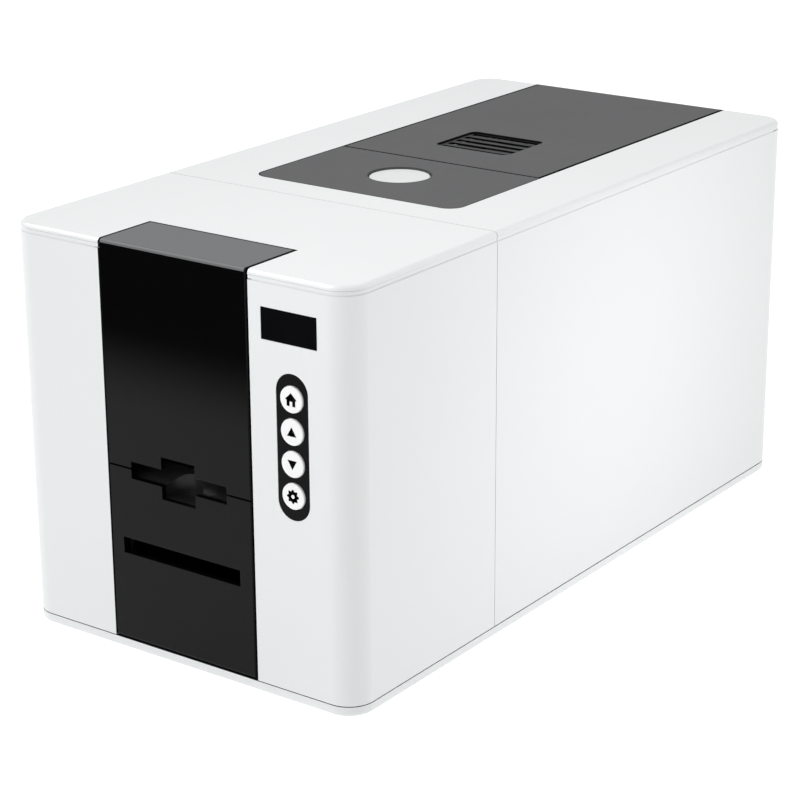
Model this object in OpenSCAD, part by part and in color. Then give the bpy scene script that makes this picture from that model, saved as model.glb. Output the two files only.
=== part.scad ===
/* [Body] */
// Width over the white side walls
body_w = 206; // [200:1:260]
// Depth from the front face to the back edge
body_d = 410; // [390:1:500]
// Height from the bottom seam to the top surface
body_h = 203.8; // [195:0.1:260]
// Height of the base tray below the bottom seam
tray_h = 5.5; // [5:0.1:8]
// Height of the rubber feet under the tray
foot_h = 2; // [1:0.1:4]
// Height of the top covers above the top seam
rim_h = 4.7; // [4.4:0.1:8]
// Plan radius of the four upright corners
corner_r = 13.7; // [8:0.1:20]
// Radius of the top edges
edge_r = 2.4; // [2:0.1:2.4]
// Height of the lower lip on the rim of the top covers
lip_band = 2; // [1:0.1:2.2]
// Distance that the lip stands back
lip_back = 0.3; // [0.2:0.05:0.5]
// Wall of the plastic shells
wall = 2.5; // [2:0.1:3]
// Width of the seams between fixed shells
seam = 0.4; // [0.2:0.05:0.8]
// Distance from the front face to the upright side seam
split_d = 115.6; // [110:0.1:125]

/* [Black strip] */
// Width of the black doors in the front
strip_w = 88.4; // [86:0.1:92]
// Gap at each side of the doors
strip_gap = 1; // [0.3:0.05:1.2]
// Thickness of the door panels
door_t = 3; // [2.5:0.1:3.5]
// Depth of the grey cap on top, from the front face
cap_d = 36.3; // [34:0.1:45]
// Thickness of the cap
cap_t = 2.6; // [2.2:0.1:3]
// Radius where the cap turns into the front
cap_r = 1.6; // [1:0.1:2.6]
// Distance of the cap's hinge line ahead of its back edge
cap_pivot_back = 6; // [5:0.1:8]
// Drop of the cap's hinge line below the top surface
cap_pivot_drop = 3; // [2.8:0.1:3.2]
// Height of the seam between the two doors above the bottom seam
door_seam = 91.4; // [88:0.1:95]
// Gap between the two doors
door_gap = 0.8; // [0.3:0.1:1]
// Depth of the white jambs beside the doors
jamb_d = 50; // [45:1:55]

/* [Card mouth and slot] */
// Sideways offset of the card path from the middle
path_off = -0.6; // [-2:0.1:2]
// Play of a card in the mouth, each side
mouth_play = 2.65; // [2:0.05:4]
// Lower edge of the card mouth above the bottom seam
mouth_low = 86.5; // [84:0.1:88]
// Upper edge of the card mouth above the bottom seam
mouth_high = 95.1; // [94:0.1:98]
// Width of the thumb notch
thumb_w = 20.8; // [18:0.1:24]
// Lower edge of the thumb notch above the bottom seam
thumb_low = 80; // [78:0.1:82]
// Upper edge of the thumb notch above the bottom seam
thumb_high = 101.5; // [100:0.1:104]
// Width of the window slot in the lower door
slot_w = 73; // [66:0.1:76]
// Lower edge of the window slot above the bottom seam
slot_low = 46.5; // [40:0.1:50]
// Height of the window slot
slot_h = 8.1; // [6:0.1:10]

/* [Cards] */
// Width of a card
card_w = 54; // [53:0.1:55]
// Length of a card
card_l = 85.6; // [84:0.1:88]
// Thickness of a card
card_t = 0.8; // [0.5:0.1:1]
// Play of a card in its guides and hopper, each side
card_play = 0.6; // [0.4:0.1:1]
// Height of the input hopper above its floor
hopper_h = 90; // [70:1:95]
// Wall of the hoppers
hopper_wall = 2; // [1.5:0.1:2.5]

/* [Display and keys] */
// Width of the display window
display_w = 31.9; // [26:0.1:34]
// Height of the display window
display_h = 15.4; // [12:0.1:20]
// Distance of the display window from the door strip
display_gap = 8.1; // [7:0.1:10]
// Height of the display window's middle above the bottom seam
display_z = 179.9; // [170:0.1:185]
// Width of the dark keypad
keypad_w = 18.4; // [17:0.1:20]
// Height of the dark keypad
keypad_h = 71; // [66:0.1:75]
// Distance of the keypad's middle line from the door strip
keypad_gap = 25.2; // [20:0.1:28]
// Height of the keypad's middle above the bottom seam
keypad_z = 123.2; // [110:0.1:130]
// Diameter of the round keys
key_d = 12.8; // [11:0.1:13.2]
// Distance from key to key
key_pitch = 15.6; // [15.4:0.1:16]
// How far the keys stand out of the front
key_proud = 0.8; // [0.4:0.1:1]
// Travel of a key
key_travel = 0.8; // [0.4:0.1:1]

/* [Lid] */
// Width of the dark lid insets
inset_w = 125.4; // [110:0.1:140]
// Distance of the insets' front edge from the front face
inset_front = 136.9; // [130:0.1:145]
// Distance of the seam between the two insets from the front face
inset_split = 214.1; // [205:0.1:220]
// Radius of the insets' front corners
inset_r = 8; // [4:0.1:10]
// Thickness of the insets
inset_t = 2.4; // [2:0.1:2.6]
// Diameter of the round release button
button_d = 31.6; // [28:0.1:33]
// Gap round the release button
button_gap = 1; // [0.6:0.1:1.4]
// Depth of the release button's face below the lid
button_low = 0.9; // [0:0.1:1.2]
// Distance of the release button's middle from the front face
button_dist = 179.4; // [175:0.1:185]
// Travel of the release button
button_travel = 3.2; // [2.5:0.1:3.5]
// Length of the grille slots
grille_w = 44; // [30:0.1:44]
// Number of grille slots
grille_n = 5; // [3:1:5]
// Distance from slot to slot
grille_pitch = 7.85; // [7:0.05:8.5]
// Width of one grille slot
grille_slot = 4.4; // [3:0.1:4.5]
// Distance of the first grille slot from the front face
grille_dist = 249.4; // [240:0.1:250]
// Depth of the hollow that holds the grille
grille_deep = 1.4; // [0.6:0.1:1.4]
// Diameter of the lid's hinge pins
hinge_pin_d = 3; // [2.5:0.1:3]
// Radius of the lid's hinge barrel
barrel_r = 2.8; // [2.5:0.1:2.9]
// Drop of the lid's hinge line below the lid's lower face
hinge_drop = 3.2; // [3.1:0.1:3.6]
// Distance of the lid's hinge line from the back
hinge_back = 2.7; // [2.4:0.1:3]

/* [Paper path and drive] */
// Thickness of the sheet steel side plates
plate_t = 1.5; // [1:0.1:2]
// Distance between the side plates
plate_gap = 104; // [100:1:106]
// Radius of the driven transport rollers
feed_r = 6; // [5:0.1:7]
// Radius of the platen roller
platen_r = 8; // [7:0.1:9]
// Radius of the pick roller
pick_r = 8.2; // [7:0.1:9]
// Radius of the pinch rollers
pinch_r = 4; // [3.5:0.1:4.2]
// Radius of the driven shafts
shaft_r = 3; // [2.5:0.1:3.2]
// Running clearance of shafts in their bushes
run_gap = 0.05; // [0.02:0.01:0.08]
// Clearance between parts that move past each other
move_gap = 0.3; // [0.3:0.05:0.5]
// Pitch radius of the transport pulleys
pulley_r = 7; // [6:0.1:8]
// Thickness of the drive belts
belt_t = 1.2; // [1:0.1:1.5]
// Width of the drive belts
belt_w = 4; // [3:0.1:5]
// Radius of the motor pulleys
motor_pulley_r = 5; // [4:0.1:6]
// Radius of the ribbon roll on the supply spool
supply_r = 18; // [12:0.1:19]
// Radius of the ribbon roll on the take-up spool
takeup_r = 9; // [8:0.1:12]
// Width of the ribbon beyond a card, each side
ribbon_over = 3; // [2:0.1:4]
// Thickness of the ribbon as built
ribbon_t = 0.3; // [0.3:0.05:0.4]
// Travel of the printhead when it is lifted off the card
head_travel = 3; // [2:0.1:4]

/* [Back] */
// Height of the circuit board above the bottom seam
board_z = 12.5; // [12:0.1:16]
// Side of the cooling fan
fan_w = 40; // [36:1:42]
// Thickness of the cooling fan
fan_t = 10; // [8:0.1:12]

/* [Hidden] */

white = [0.93, 0.94, 0.94];
dark = [0.2, 0.2, 0.21];
black = [0.05, 0.05, 0.055];
steel = [0.7, 0.71, 0.73];
rubber = [0.1, 0.1, 0.1];
eps = 0.01;

// Overall places
half_w = body_w / 2;
front_y = -body_d / 2;
back_y = body_d / 2;
seam_z = foot_h + tray_h;
top_z = seam_z + body_h;
rim_z = top_z - rim_h;
shell_z0 = seam_z + seam / 2;
shell_z1 = rim_z - seam / 2;
cover_z0 = rim_z + seam / 2;
tray_z1 = seam_z - seam / 2;
split_y = front_y + split_d;
tray_floor = 2.5;
tray_top = foot_h + tray_floor;

// Door strip
strip_half = strip_w / 2;
jamb_x = strip_half + strip_gap;
jamb_y1 = front_y + jamb_d;
door_seam_z = seam_z + door_seam;
door_back = front_y + door_t;
cap_y1 = front_y + cap_d;
cap_pivot_y = cap_y1 - cap_pivot_back;
cap_pivot_z = top_z - cap_pivot_drop;
cap_sweep = norm([cap_pivot_back, cap_pivot_drop]) + seam / 2;
cap_notch_y = cap_pivot_y + cap_sweep;
trunnion_r = 1.2;
trunnion_l = 2.6;
lower_pivot_y = front_y + door_t / 2;
lower_pivot_z = seam_z + 0.45 + door_t / 2;
lower_pin_r = 1;

// Card path
mouth_w = card_w + 2 * mouth_play;
mouth_z0 = seam_z + mouth_low;
mouth_z1 = seam_z + mouth_high;
thumb_z0 = seam_z + thumb_low;
thumb_z1 = seam_z + thumb_high;
slot_z0 = seam_z + slot_low;
hopper_half = card_w / 2 + card_play;
floor_t = 2;
floor_z = mouth_z1 - 3;
path_z = floor_z + card_t / 2;
hopper_y0 = front_y + 7;
hopper_y1 = hopper_y0 + card_l + 2 * card_play;
bin_half = slot_w / 2 + 0.5;
bin_z0 = shell_z0 + wall;
scoop_z0 = thumb_z0 - 3;
bin_z1 = scoop_z0 - move_gap;
scoop_y0 = door_back + move_gap;
scoop_y1 = front_y + 15;
scoop_r = 11;

// Side plates
plate_xl = path_off - plate_gap / 2 - plate_t;
plate_xr = path_off + plate_gap / 2;
plate_y0 = jamb_y1 + 13;
platen_y = front_y + 205;
plate_y1 = platen_y + 110;
base_z0 = seam_z + 1;
base_t = 1.2;
base_z1 = base_z0 + base_t;
plate_z1 = path_z + 65;

// Rollers: place along the path and height, tyre radius, shaft radius
pick_y = hopper_y1 - 20;
pick_z = floor_z + 0.4 - pick_r;
pick_half = 10;
feed_y = platen_y - 92;
feed_z = floor_z - feed_r;
clean_z = floor_z + card_t + 0.2 + feed_r;
front_roll_y = platen_y - 36;
rear_roll_y = platen_y + 36;
platen_z = floor_z - platen_r;
pinch_z = floor_z + card_t + 0.2 + pinch_r;
pinch_shaft_r = 2;
rollers = [
    [pick_y, pick_z, shaft_r],
    [feed_y, feed_z, shaft_r],
    [feed_y, clean_z, shaft_r],
    [front_roll_y, feed_z, shaft_r],
    [front_roll_y, pinch_z, pinch_shaft_r],
    [platen_y, platen_z, shaft_r],
    [rear_roll_y, feed_z, shaft_r],
    [rear_roll_y, pinch_z, pinch_shaft_r]
];
bush_wall = 1.8;
bush_flange = 1.2;
pulley_x = plate_xl - 2 - 6;
pulley_l = 6;
belt_x = pulley_x + (pulley_l - belt_w) / 2;
platen_pulley_r = feed_z + pulley_r - platen_z;

// Motors
motor_w = 42;
motor_l = 34;
motor_y = platen_y - 28;
motor_z = base_z1 + motor_w / 2 + 14;
motor_boss_r = 11;
motor_shaft_r = 2.5;

// Ribbon and printhead
supply_y = platen_y + 62;
takeup_y = platen_y - 48;
spool_z = path_z + 40;
journal_r = 5;
bar_y = 18;
bar_r = 2.5;
bar_z = path_z + 6.5;
takeup_rim_r = 10;
rim_w = 5;
ribbon_wheel_r = 6;
wheel_shaft_r = 1.5;
ribbon_motor_y = takeup_y - takeup_rim_r - ribbon_wheel_r;
head_z = path_z + card_t / 2 + 0.5;
ribbon_w = card_w + 2 * ribbon_over;
head_half = ribbon_w / 2 + 3;
arm_x = head_half + 5;
head_pin_z = head_z + 19;
head_pin_y = 6;
head_pin_r = 2;
sink_z1 = head_z + 27;
cross_z = head_z + 49;

// Latch
inset_z0 = top_z - inset_t;
flange_t = 1.2;
hook_pivot_y = split_y + 15.4;
hook_pivot_z = cover_z0 - 6.8;
hook_pin_r = 2;
striker_r = 2.5;
striker_y = hook_pivot_y + 6;
striker_z = hook_pivot_z - 24;
ear_y0 = hook_pivot_y - 21;
ear_y1 = hook_pivot_y + 13;
ear_z1 = striker_z + 8;
button_y = front_y + button_dist;
button_hole_r = button_d / 2 + button_gap;
pusher_y = button_y - 12.4;
bracket_half = 12;
bracket_t = 1.2;
bracket_z0 = inset_z0 - flange_t - button_travel - 7.9;

// Lid
lid_y0 = split_y + seam / 2;
inset_x0 = 0.6 - inset_w / 2;
inset_x1 = 0.6 + inset_w / 2;
inset_y0 = front_y + inset_front;
inset_mid = front_y + inset_split;
inset_gap = 0.8;
hinge_y = back_y - hinge_back;
hinge_z = cover_z0 - hinge_drop;
lug_x = 62;
lug_l = 8;
back_clear = norm([hinge_back, hinge_drop]) + move_gap;
ledge_y1 = hinge_y - back_clear;
rear_z1 = hinge_z - back_clear;
rear_half = half_w - corner_r - 0.3;
grille_x = -1;
grille_y = front_y + grille_dist;
fan_x = grille_x;
fan_y = grille_y + (grille_n - 1) * grille_pitch / 2;

// Display and keypad
display_x = strip_half + display_gap + display_w / 2;
window_z = seam_z + display_z;
keypad_x = strip_half + keypad_gap;
pad_z = seam_z + keypad_z;
ledge = 1;
lens_t = 1.2;
pad_recess = 1.5;

// Back
deck_z = seam_z + board_z;
board_t = 1.6;
deck_top = deck_z + board_t;
board_y0 = back_y - 82;
board_y1 = back_y - 8;
jack_x = -64;
usb_x = -38;
lan_x = -8;
rocker_z = deck_top + 40;
rocker_w = 13;
rocker_h = 19;

function arc(cx, cy, r, from, to, steps) =
    [for (i = [0:steps]) let (a = from + (to - from) * i / steps) [cx + r * cos(a), cy + r * sin(a)]];

function rounded(x0, y0, x1, y1, r, steps = 12) = concat(
    arc(x1 - r, y1 - r, r, 0, 90, steps),
    arc(x0 + r, y1 - r, r, 90, 180, steps),
    arc(x0 + r, y0 + r, r, 180, 270, steps),
    arc(x1 - r, y0 + r, r, 270, 360, steps)
);

// Plan outline of the body, drawn in by an inset
module outline(inset) {
    polygon(rounded(-half_w + inset, front_y + inset, half_w - inset, back_y - inset, corner_r - inset));
}

// A box between two corners
module block(a, b) {
    translate(a) cube([b[0] - a[0], b[1] - a[1], b[2] - a[2]]);
}

// Extrudes a side-view profile, drawn in Y and Z, along X
module along_x(x0, x1) {
    translate([x0, 0, 0]) rotate([90, 0, 90]) linear_extrude(x1 - x0) children();
}

// A round bar along X
module bar_x(x0, x1, y, z, r) {
    translate([x0, y, z]) rotate([0, 90, 0]) cylinder(h = x1 - x0, r = r, $fn = 48);
}

// A round bar along Y
module bar_y(y0, y1, x, z, r) {
    translate([x, y0, z]) rotate([-90, 0, 0]) cylinder(h = y1 - y0, r = r, $fn = 48);
}

// Mirrors its children to both sides
module both_sides() {
    children();
    mirror([1, 0, 0]) children();
}

// Upright ring along the body outline
module shell_ring(z0, z1, outer, inner) {
    translate([0, 0, z0]) linear_extrude(z1 - z0) difference() {
        outline(outer);
        outline(inner);
    }
}

// Base tray
foot_x = half_w - 20;
foot_y = back_y - 22;
foot_r = 8;
foot_seat = 0.8;
lip_t = 1.5;
lip_h = 3;
tray_edge = 2.4;
boss_x = plate_gap / 2 + 20;
boss_y0 = plate_y0 + 20;
boss_y1 = board_y1 - 10;
boss_r = 5;
screw_r = 1.5;

module tray_block() {
    hull() for (a = [0:22.5:90])
        translate([0, 0, foot_h + tray_edge * (1 - cos(a))])
            linear_extrude(tray_z1 - foot_h - tray_edge) outline(tray_edge * (1 - sin(a)));
}

module boss_places() {
    for (x = [-boss_x, boss_x]) for (y = [boss_y0, boss_y1]) translate([x, y, 0]) children();
}

module foot_places() {
    for (x = [-foot_x, foot_x]) for (y = [-foot_y, foot_y]) translate([x, y, 0]) children();
}

module base_tray() {
    color(white) difference() {
        union() {
            difference() {
                tray_block();
                translate([0, 0, tray_top]) linear_extrude(tray_h) outline(wall);
            }
            difference() {
                shell_ring(tray_top - eps, seam_z + lip_h, wall + move_gap, wall + move_gap + lip_t);
                block([-jamb_x - 4, front_y - 1, tray_top], [jamb_x + 4, front_y + 20, seam_z + lip_h + 1]);
                block([-rear_half, back_y - 20, tray_z1], [rear_half, back_y, seam_z + lip_h + 1]);
            }
            boss_places() translate([0, 0, tray_top - eps])
                cylinder(h = base_z0 - tray_top + eps, r = boss_r, $fn = 36);
        }
        foot_places() translate([0, 0, foot_h - 1]) cylinder(h = 1 + foot_seat, r = foot_r, $fn = 48);
        boss_places() translate([0, 0, foot_h - 1]) cylinder(h = base_z0, r = screw_r, $fn = 24);
        boss_places() translate([0, 0, foot_h - 1]) cylinder(h = 1 + head_h, r = head_r + 0.1, $fn = 24);
    }
}

// Feet, each with a softened lower edge
module rubber_feet() {
    color(rubber) foot_places() rotate_extrude($fn = 48) polygon(concat(
        [[0, 0], [foot_r - 1, 0]],
        [[foot_r, 1], [foot_r, foot_h + foot_seat], [0, foot_h + foot_seat]]
    ));
}

// A screw with its cross slot, its head at the origin and its shank up
head_r = 2.8;
head_h = 0.8;
cross_w = 0.7;

module screw(len) {
    difference() {
        union() {
            cylinder(h = head_h, r = head_r, $fn = 24);
            cylinder(h = head_h + len, r = screw_r - 0.05, $fn = 24);
        }
        for (a = [0, 90]) rotate([0, 0, a]) cube([head_r, cross_w, head_h], center = true);
    }
}

module screw_places() {
    for (x = [-rear_half + 8, rear_half - 8]) for (z = [shell_z0 + 10, rear_z1 - 15])
        translate([x, back_y + head_h, z]) rotate([90, 0, 0]) children();
}

// Screws of the chassis, from below, and of the rear panel
module case_screws() {
    color(steel) {
        boss_places() translate([0, 0, foot_h]) screw(base_z0 - foot_h - head_h);
        screw_places() screw(wall);
    }
}

// Front housing: front wings, side walls and the jambs of the door bay
module stadium(w, h, r_in = 0) {
    polygon(concat(
        arc(0, h / 2 - w / 2, w / 2 - r_in, 0, 180, 20),
        arc(0, -h / 2 + w / 2, w / 2 - r_in, 180, 360, 20)
    ));
}

// Places a front-view profile, drawn in X and Z, and extrudes it towards the back
module on_front(x, z, y0, y1) {
    translate([x, y1, z]) rotate([90, 0, 0]) linear_extrude(y1 - y0) children();
}

web_t = 2;
web_h = 40;

module front_housing() {
    color(white) difference() {
        union() {
            intersection() {
                shell_ring(shell_z0, shell_z1, 0, wall);
                block([-half_w, front_y, 0], [half_w, split_y - seam / 2, top_z]);
            }
            both_sides() block([jamb_x, front_y + 1, shell_z0], [jamb_x + wall, jamb_y1, shell_z1]);
            block([-jamb_x, door_back + 2, shell_z0], [jamb_x, jamb_y1, shell_z0 + wall]);
            block([-jamb_x, jamb_y1 - 10, shell_z1 - wall], [jamb_x, jamb_y1, shell_z1]);
            both_sides() block(
                [jamb_x + wall - eps, jamb_y1 - web_t - 10, seam_z + lip_h + 1],
                [half_w - wall + eps, jamb_y1 - 10, shell_z0 + web_h]
            );
        }
        block([-jamb_x, front_y - 1, shell_z0 - 1], [jamb_x, front_y + wall + eps, shell_z1 + 1]);
        bar_x(-jamb_x - trunnion_l, jamb_x + trunnion_l, lower_pivot_y, lower_pivot_z, lower_pin_r + run_gap);
        on_front(display_x, window_z, front_y - 1, front_y + lens_t)
            square([display_w, display_h], center = true);
        on_front(display_x, window_z, front_y, front_y + wall + 1)
            square([display_w - 2 * ledge, display_h - 2 * ledge], center = true);
        on_front(keypad_x, pad_z, front_y - 1, front_y + pad_recess) stadium(keypad_w, keypad_h);
        on_front(keypad_x, pad_z, front_y, front_y + wall + 1) stadium(keypad_w, keypad_h, ledge);
    }
}

// Full top slab with rounded top edges and a lip set back below, cut into the two covers
module top_slab() {
    translate([0, 0, cover_z0]) linear_extrude(lip_band + eps) outline(lip_back);
    hull() {
        translate([0, 0, cover_z0 + lip_band]) linear_extrude(eps) outline(0);
        for (a = [0:15:90])
            translate([0, 0, top_z - edge_r + (edge_r - eps) * sin(a)])
                linear_extrude(eps) outline(edge_r * (1 - cos(a)));
    }
}

pocket_wall = 3;
pocket_h = 2;

module front_top_cover() {
    color(white) difference() {
        intersection() {
            top_slab();
            block([-half_w, front_y, cover_z0], [half_w, split_y - seam / 2, top_z]);
        }
        block([-jamb_x, front_y - 1, cover_z0 - 1], [jamb_x, cap_notch_y, top_z + 1]);
        bar_x(
            -jamb_x - trunnion_l - 0.2, jamb_x + trunnion_l + 0.2,
            cap_pivot_y, cap_pivot_z, trunnion_r + run_gap
        );
        both_sides() block(
            [jamb_x + trunnion_l + 1.5, front_y + corner_r, cover_z0 - 1],
            [half_w - pocket_wall - 2, split_y - pocket_wall, cover_z0 + pocket_h]
        );
        block(
            [-jamb_x, cap_notch_y + pocket_wall, cover_z0 - 1],
            [jamb_x, split_y - pocket_wall, cover_z0 + pocket_h]
        );
    }
}

// Rear side walls, each with a tongue behind the front housing's edge
module side_panel() {
    tongue_x = half_w - wall - move_gap;
    tongue_z0 = seam_z + 12;
    difference() {
        union() {
            intersection() {
                shell_ring(shell_z0, shell_z1, 0, wall);
                block([rear_half + 0.3, split_y + seam / 2, 0], [half_w, back_y, top_z]);
            }
            block([tongue_x - lip_t, split_y - 7, tongue_z0], [tongue_x, split_y + 8, shell_z1 - 8]);
            block([tongue_x - lip_t, split_y + 3, tongue_z0], [half_w - 1, split_y + 8, shell_z1 - 8]);
        }
        block([0, ledge_y1 - 0.5, rear_z1], [half_w - 5, back_y + 1, top_z]);
    }
}

module left_side_panel() {
    color(white) mirror([1, 0, 0]) side_panel();
}

module right_side_panel() {
    color(white) side_panel();
}

// Rear panel with the hinge barrel along its top
vent_n = 9;
vent_x = 52;

module rear_panel() {
    color(dark) difference() {
        union() {
            block([-rear_half, back_y - wall, shell_z0], [rear_half, back_y, rear_z1]);
            block([-rear_half, ledge_y1 - wall, rear_z1 - wall], [rear_half, back_y, rear_z1]);
            block([-rear_half, ledge_y1 - wall, rear_z1 - wall], [rear_half, ledge_y1, shell_z1]);
            block([-rear_half, ledge_y1 - eps, rear_z1 - eps], [rear_half, hinge_y, hinge_z - 1]);
            bar_x(-rear_half, rear_half, hinge_y, hinge_z, barrel_r);
            for (s = [-1, 1]) block(
                [jack_x + s * (rocker_w / 2 + 1.5) - 1, back_y - 8, rocker_z - rocker_h / 2 - 1],
                [jack_x + s * (rocker_w / 2 + 1.5) + 1, back_y - wall + eps, rocker_z + rocker_h / 2 + 1]
            );
        }
        bar_x(jack_x - 12, jack_x + 12, rocker_pivot_y, rocker_z, 1 + run_gap);
        both_sides() {
            block(
                [lug_x - move_gap, ledge_y1 - wall - 1, rear_z1],
                [lug_x + lug_l + move_gap, back_y + 1, top_z]
            );
            bar_x(lug_x - 6, lug_x + lug_l + 6, hinge_y, hinge_z, hinge_pin_d / 2);
        }
        on_front(jack_x, deck_top + 5.5, back_y - wall - 1, back_y + 1) square([9.4, 11.4], center = true);
        on_front(usb_x, deck_top + 5.5, back_y - wall - 1, back_y + 1) square([12.4, 11.4], center = true);
        on_front(lan_x, deck_top + 6.75, back_y - wall - 1, back_y + 1) square([16.4, 13.9], center = true);
        on_front(jack_x, rocker_z, back_y - wall - 1, back_y + 1)
            square([rocker_w + 1, rocker_h + 1.4], center = true);
        for (i = [0:vent_n - 1]) on_front(vent_x, deck_top + 8 + 8 * i, back_y - wall - 1, back_y + 1)
            polygon(rounded(-24, -1.5, 24, 1.5, 1.4, 6));
        screw_places() cylinder(h = 2 * wall, r = screw_r, $fn = 24);
    }
}

module hinge_pins() {
    color(steel) both_sides() bar_x(lug_x - 5, lug_x + lug_l + 5, hinge_y, hinge_z, hinge_pin_d / 2);
}

// Lid
module inset_area(grow, y0, y1) {
    intersection() {
        polygon(rounded(inset_x0 - grow, inset_y0 - grow, inset_x1 + grow, back_y + 30, inset_r + grow));
        translate([inset_x0 - 5, y0]) square([inset_w + 10, y1 - y0]);
    }
}

module lid_lug() {
    bar_x(lug_x, lug_x + lug_l, hinge_y, hinge_z, barrel_r);
    block([lug_x, hinge_y - 1.8, hinge_z], [lug_x + lug_l, hinge_y + 1.8, cover_z0 + 1]);
}

// Opening in the lid under the grille, wider by grow
duct_play = 0.5;

module fan_duct(z0, h, grow) {
    half_x = grille_w / 2 + duct_play + grow;
    half_y = (grille_n - 1) * grille_pitch / 2 + grille_slot / 2 + duct_play + grow;
    translate([fan_x, fan_y, z0]) linear_extrude(h) polygon(rounded(-half_x, -half_y, half_x, half_y, 3, 6));
}

module lid_frame() {
    color(white) difference() {
        union() {
            intersection() {
                top_slab();
                block([-half_w, lid_y0, cover_z0], [half_w, back_y, top_z]);
            }
            both_sides() lid_lug();
        }
        translate([0, 0, inset_z0]) linear_extrude(inset_t + 1)
            inset_area(inset_gap, inset_y0 - 5, back_y + 5);
        both_sides() bar_x(lug_x - 1, lug_x + lug_l + 1, hinge_y, hinge_z, hinge_pin_d / 2 + run_gap);
        translate([0, button_y, cover_z0 - 1]) cylinder(h = rim_h, r = button_hole_r + 1.6, $fn = 72);
        fan_duct(cover_z0 - 1, rim_h, 0);
        for (x = [-1, 1]) block(
            [x > 0 ? inset_x1 + pocket_wall : -half_w + pocket_wall + 2, lid_y0 + pocket_wall, cover_z0 - 1],
            [
                x > 0 ? half_w - pocket_wall - 2 : inset_x0 - pocket_wall,
                back_y - corner_r - 6, cover_z0 + pocket_h
            ]
        );
    }
}

module lid_front_inset() {
    color(dark) difference() {
        translate([0, 0, inset_z0]) linear_extrude(inset_t)
            inset_area(0, inset_y0 - 1, inset_mid - inset_gap);
        translate([0, button_y, inset_z0 - 1]) cylinder(h = inset_t + 2, r = button_hole_r, $fn = 72);
    }
}

module lid_vent_inset() {
    lead = 2.4;
    rest = 0.2;
    hollow_x = grille_w / 2 + 1.5;
    hollow_y0 = grille_y - grille_slot / 2 - lead;
    hollow_y1 = grille_y + (grille_n - 1) * grille_pitch + grille_slot / 2 + rest;
    color(dark) difference() {
        intersection() {
            top_slab();
            translate([0, 0, inset_z0]) linear_extrude(inset_t) inset_area(0, inset_mid + inset_gap, back_y);
        }
        translate([grille_x, 0, top_z - grille_deep]) linear_extrude(2)
            polygon(rounded(-hollow_x, hollow_y0, hollow_x, hollow_y1, 4, 6));
        for (i = [0:grille_n - 1]) translate([grille_x, grille_y + i * grille_pitch, inset_z0 - 1])
            linear_extrude(inset_t + 2)
                polygon(rounded(-grille_w / 2, -grille_slot / 2, grille_w / 2, grille_slot / 2, 1.2, 5));
    }
}

// Round release button with its retaining flange and two pushers
pusher_z = hook_pivot_z + 3;
column_r = 2.5;

module button_column(y, z0, r) {
    translate([0, y, z0]) cylinder(h = inset_z0 - flange_t - z0 + eps, r = r, $fn = 32);
}

module release_button() {
    color(white) union() {
        translate([0, button_y, inset_z0])
            cylinder(h = inset_t - button_low, r = button_d / 2, $fn = 72);
        translate([0, button_y, inset_z0 - flange_t])
            cylinder(h = flange_t, r = button_hole_r + 0.8, $fn = 72);
        button_column(pusher_y, pusher_z, column_r);
        button_column(button_y, pusher_z - 1, column_r);
    }
}

module button_spring() {
    color(steel) translate([0, button_y, bracket_z0 + bracket_t]) difference() {
        cylinder(h = inset_z0 - flange_t - bracket_z0 - bracket_t, r = column_r + 1.7, $fn = 36);
        translate([0, 0, -1]) cylinder(h = 20, r = column_r + 0.7, $fn = 36);
    }
}

// Channel under the lid that carries the latch and the button's spring
module latch_bracket() {
    bracket_y1 = button_y + button_hole_r + 6;
    color(steel) difference() {
        union() {
            both_sides() block(
                [bracket_half, hook_pivot_y - 6, bracket_z0],
                [bracket_half + bracket_t, bracket_y1, cover_z0]
            );
            block(
                [-bracket_half - bracket_t, pusher_y + 4.5, bracket_z0],
                [bracket_half + bracket_t, bracket_y1, bracket_z0 + bracket_t]
            );
        }
        bar_x(-20, 20, hook_pivot_y, hook_pivot_z, hook_pin_r + run_gap);
        both_sides() block(
            [bracket_half - 1, button_y - button_d / 2 - 6, cover_z0 - 5],
            [bracket_half + bracket_t + 1, bracket_y1 - 3, cover_z0 + 1]
        );
    }
}

// Moulded hook with its pivot stubs, a barb under the striker rod and a tail under the pusher
hook_w = 10;
hook_t = 4;
hub_wall = 2.5;
barb_l = 3;
tail_t = 2.4;

module latch_hook() {
    hook_y1 = striker_y - striker_r - 1;
    hook_y0 = hook_y1 - hook_t;
    barb_top = striker_z - striker_r - move_gap;
    tip_z = barb_top - barb_l;
    tail_z1 = pusher_z - 0.05;
    pin_half = bracket_half + bracket_t;
    color(dark) union() {
        along_x(-hook_w / 2, hook_w / 2) polygon([
            [hook_y0, hook_pivot_z], [hook_y0, tip_z + 1], [hook_y0 + 1, tip_z],
            [hook_y1, tip_z], [hook_y1 + barb_l, barb_top - 0.8], [hook_y1 + barb_l, barb_top],
            [hook_y1, barb_top], [hook_y1, hook_pivot_z]
        ]);
        bar_x(-hook_w / 2, hook_w / 2, hook_pivot_y, hook_pivot_z, hook_pin_r + hub_wall);
        bar_x(-pin_half, pin_half, hook_pivot_y, hook_pivot_z, hook_pin_r);
        block(
            [-hook_w / 2, hook_pivot_y, tail_z1 - tail_t],
            [hook_w / 2, pusher_y + 3.2, tail_z1]
        );
    }
}

// Cooling fan under the grille
fan_hub_r = 9;
fan_open_r = fan_w / 2 - 1.5;
fan_floor = 1.5;
fan_pin_r = 1;
fan_rim = 3;
fan_rim_t = 1.2;

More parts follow.
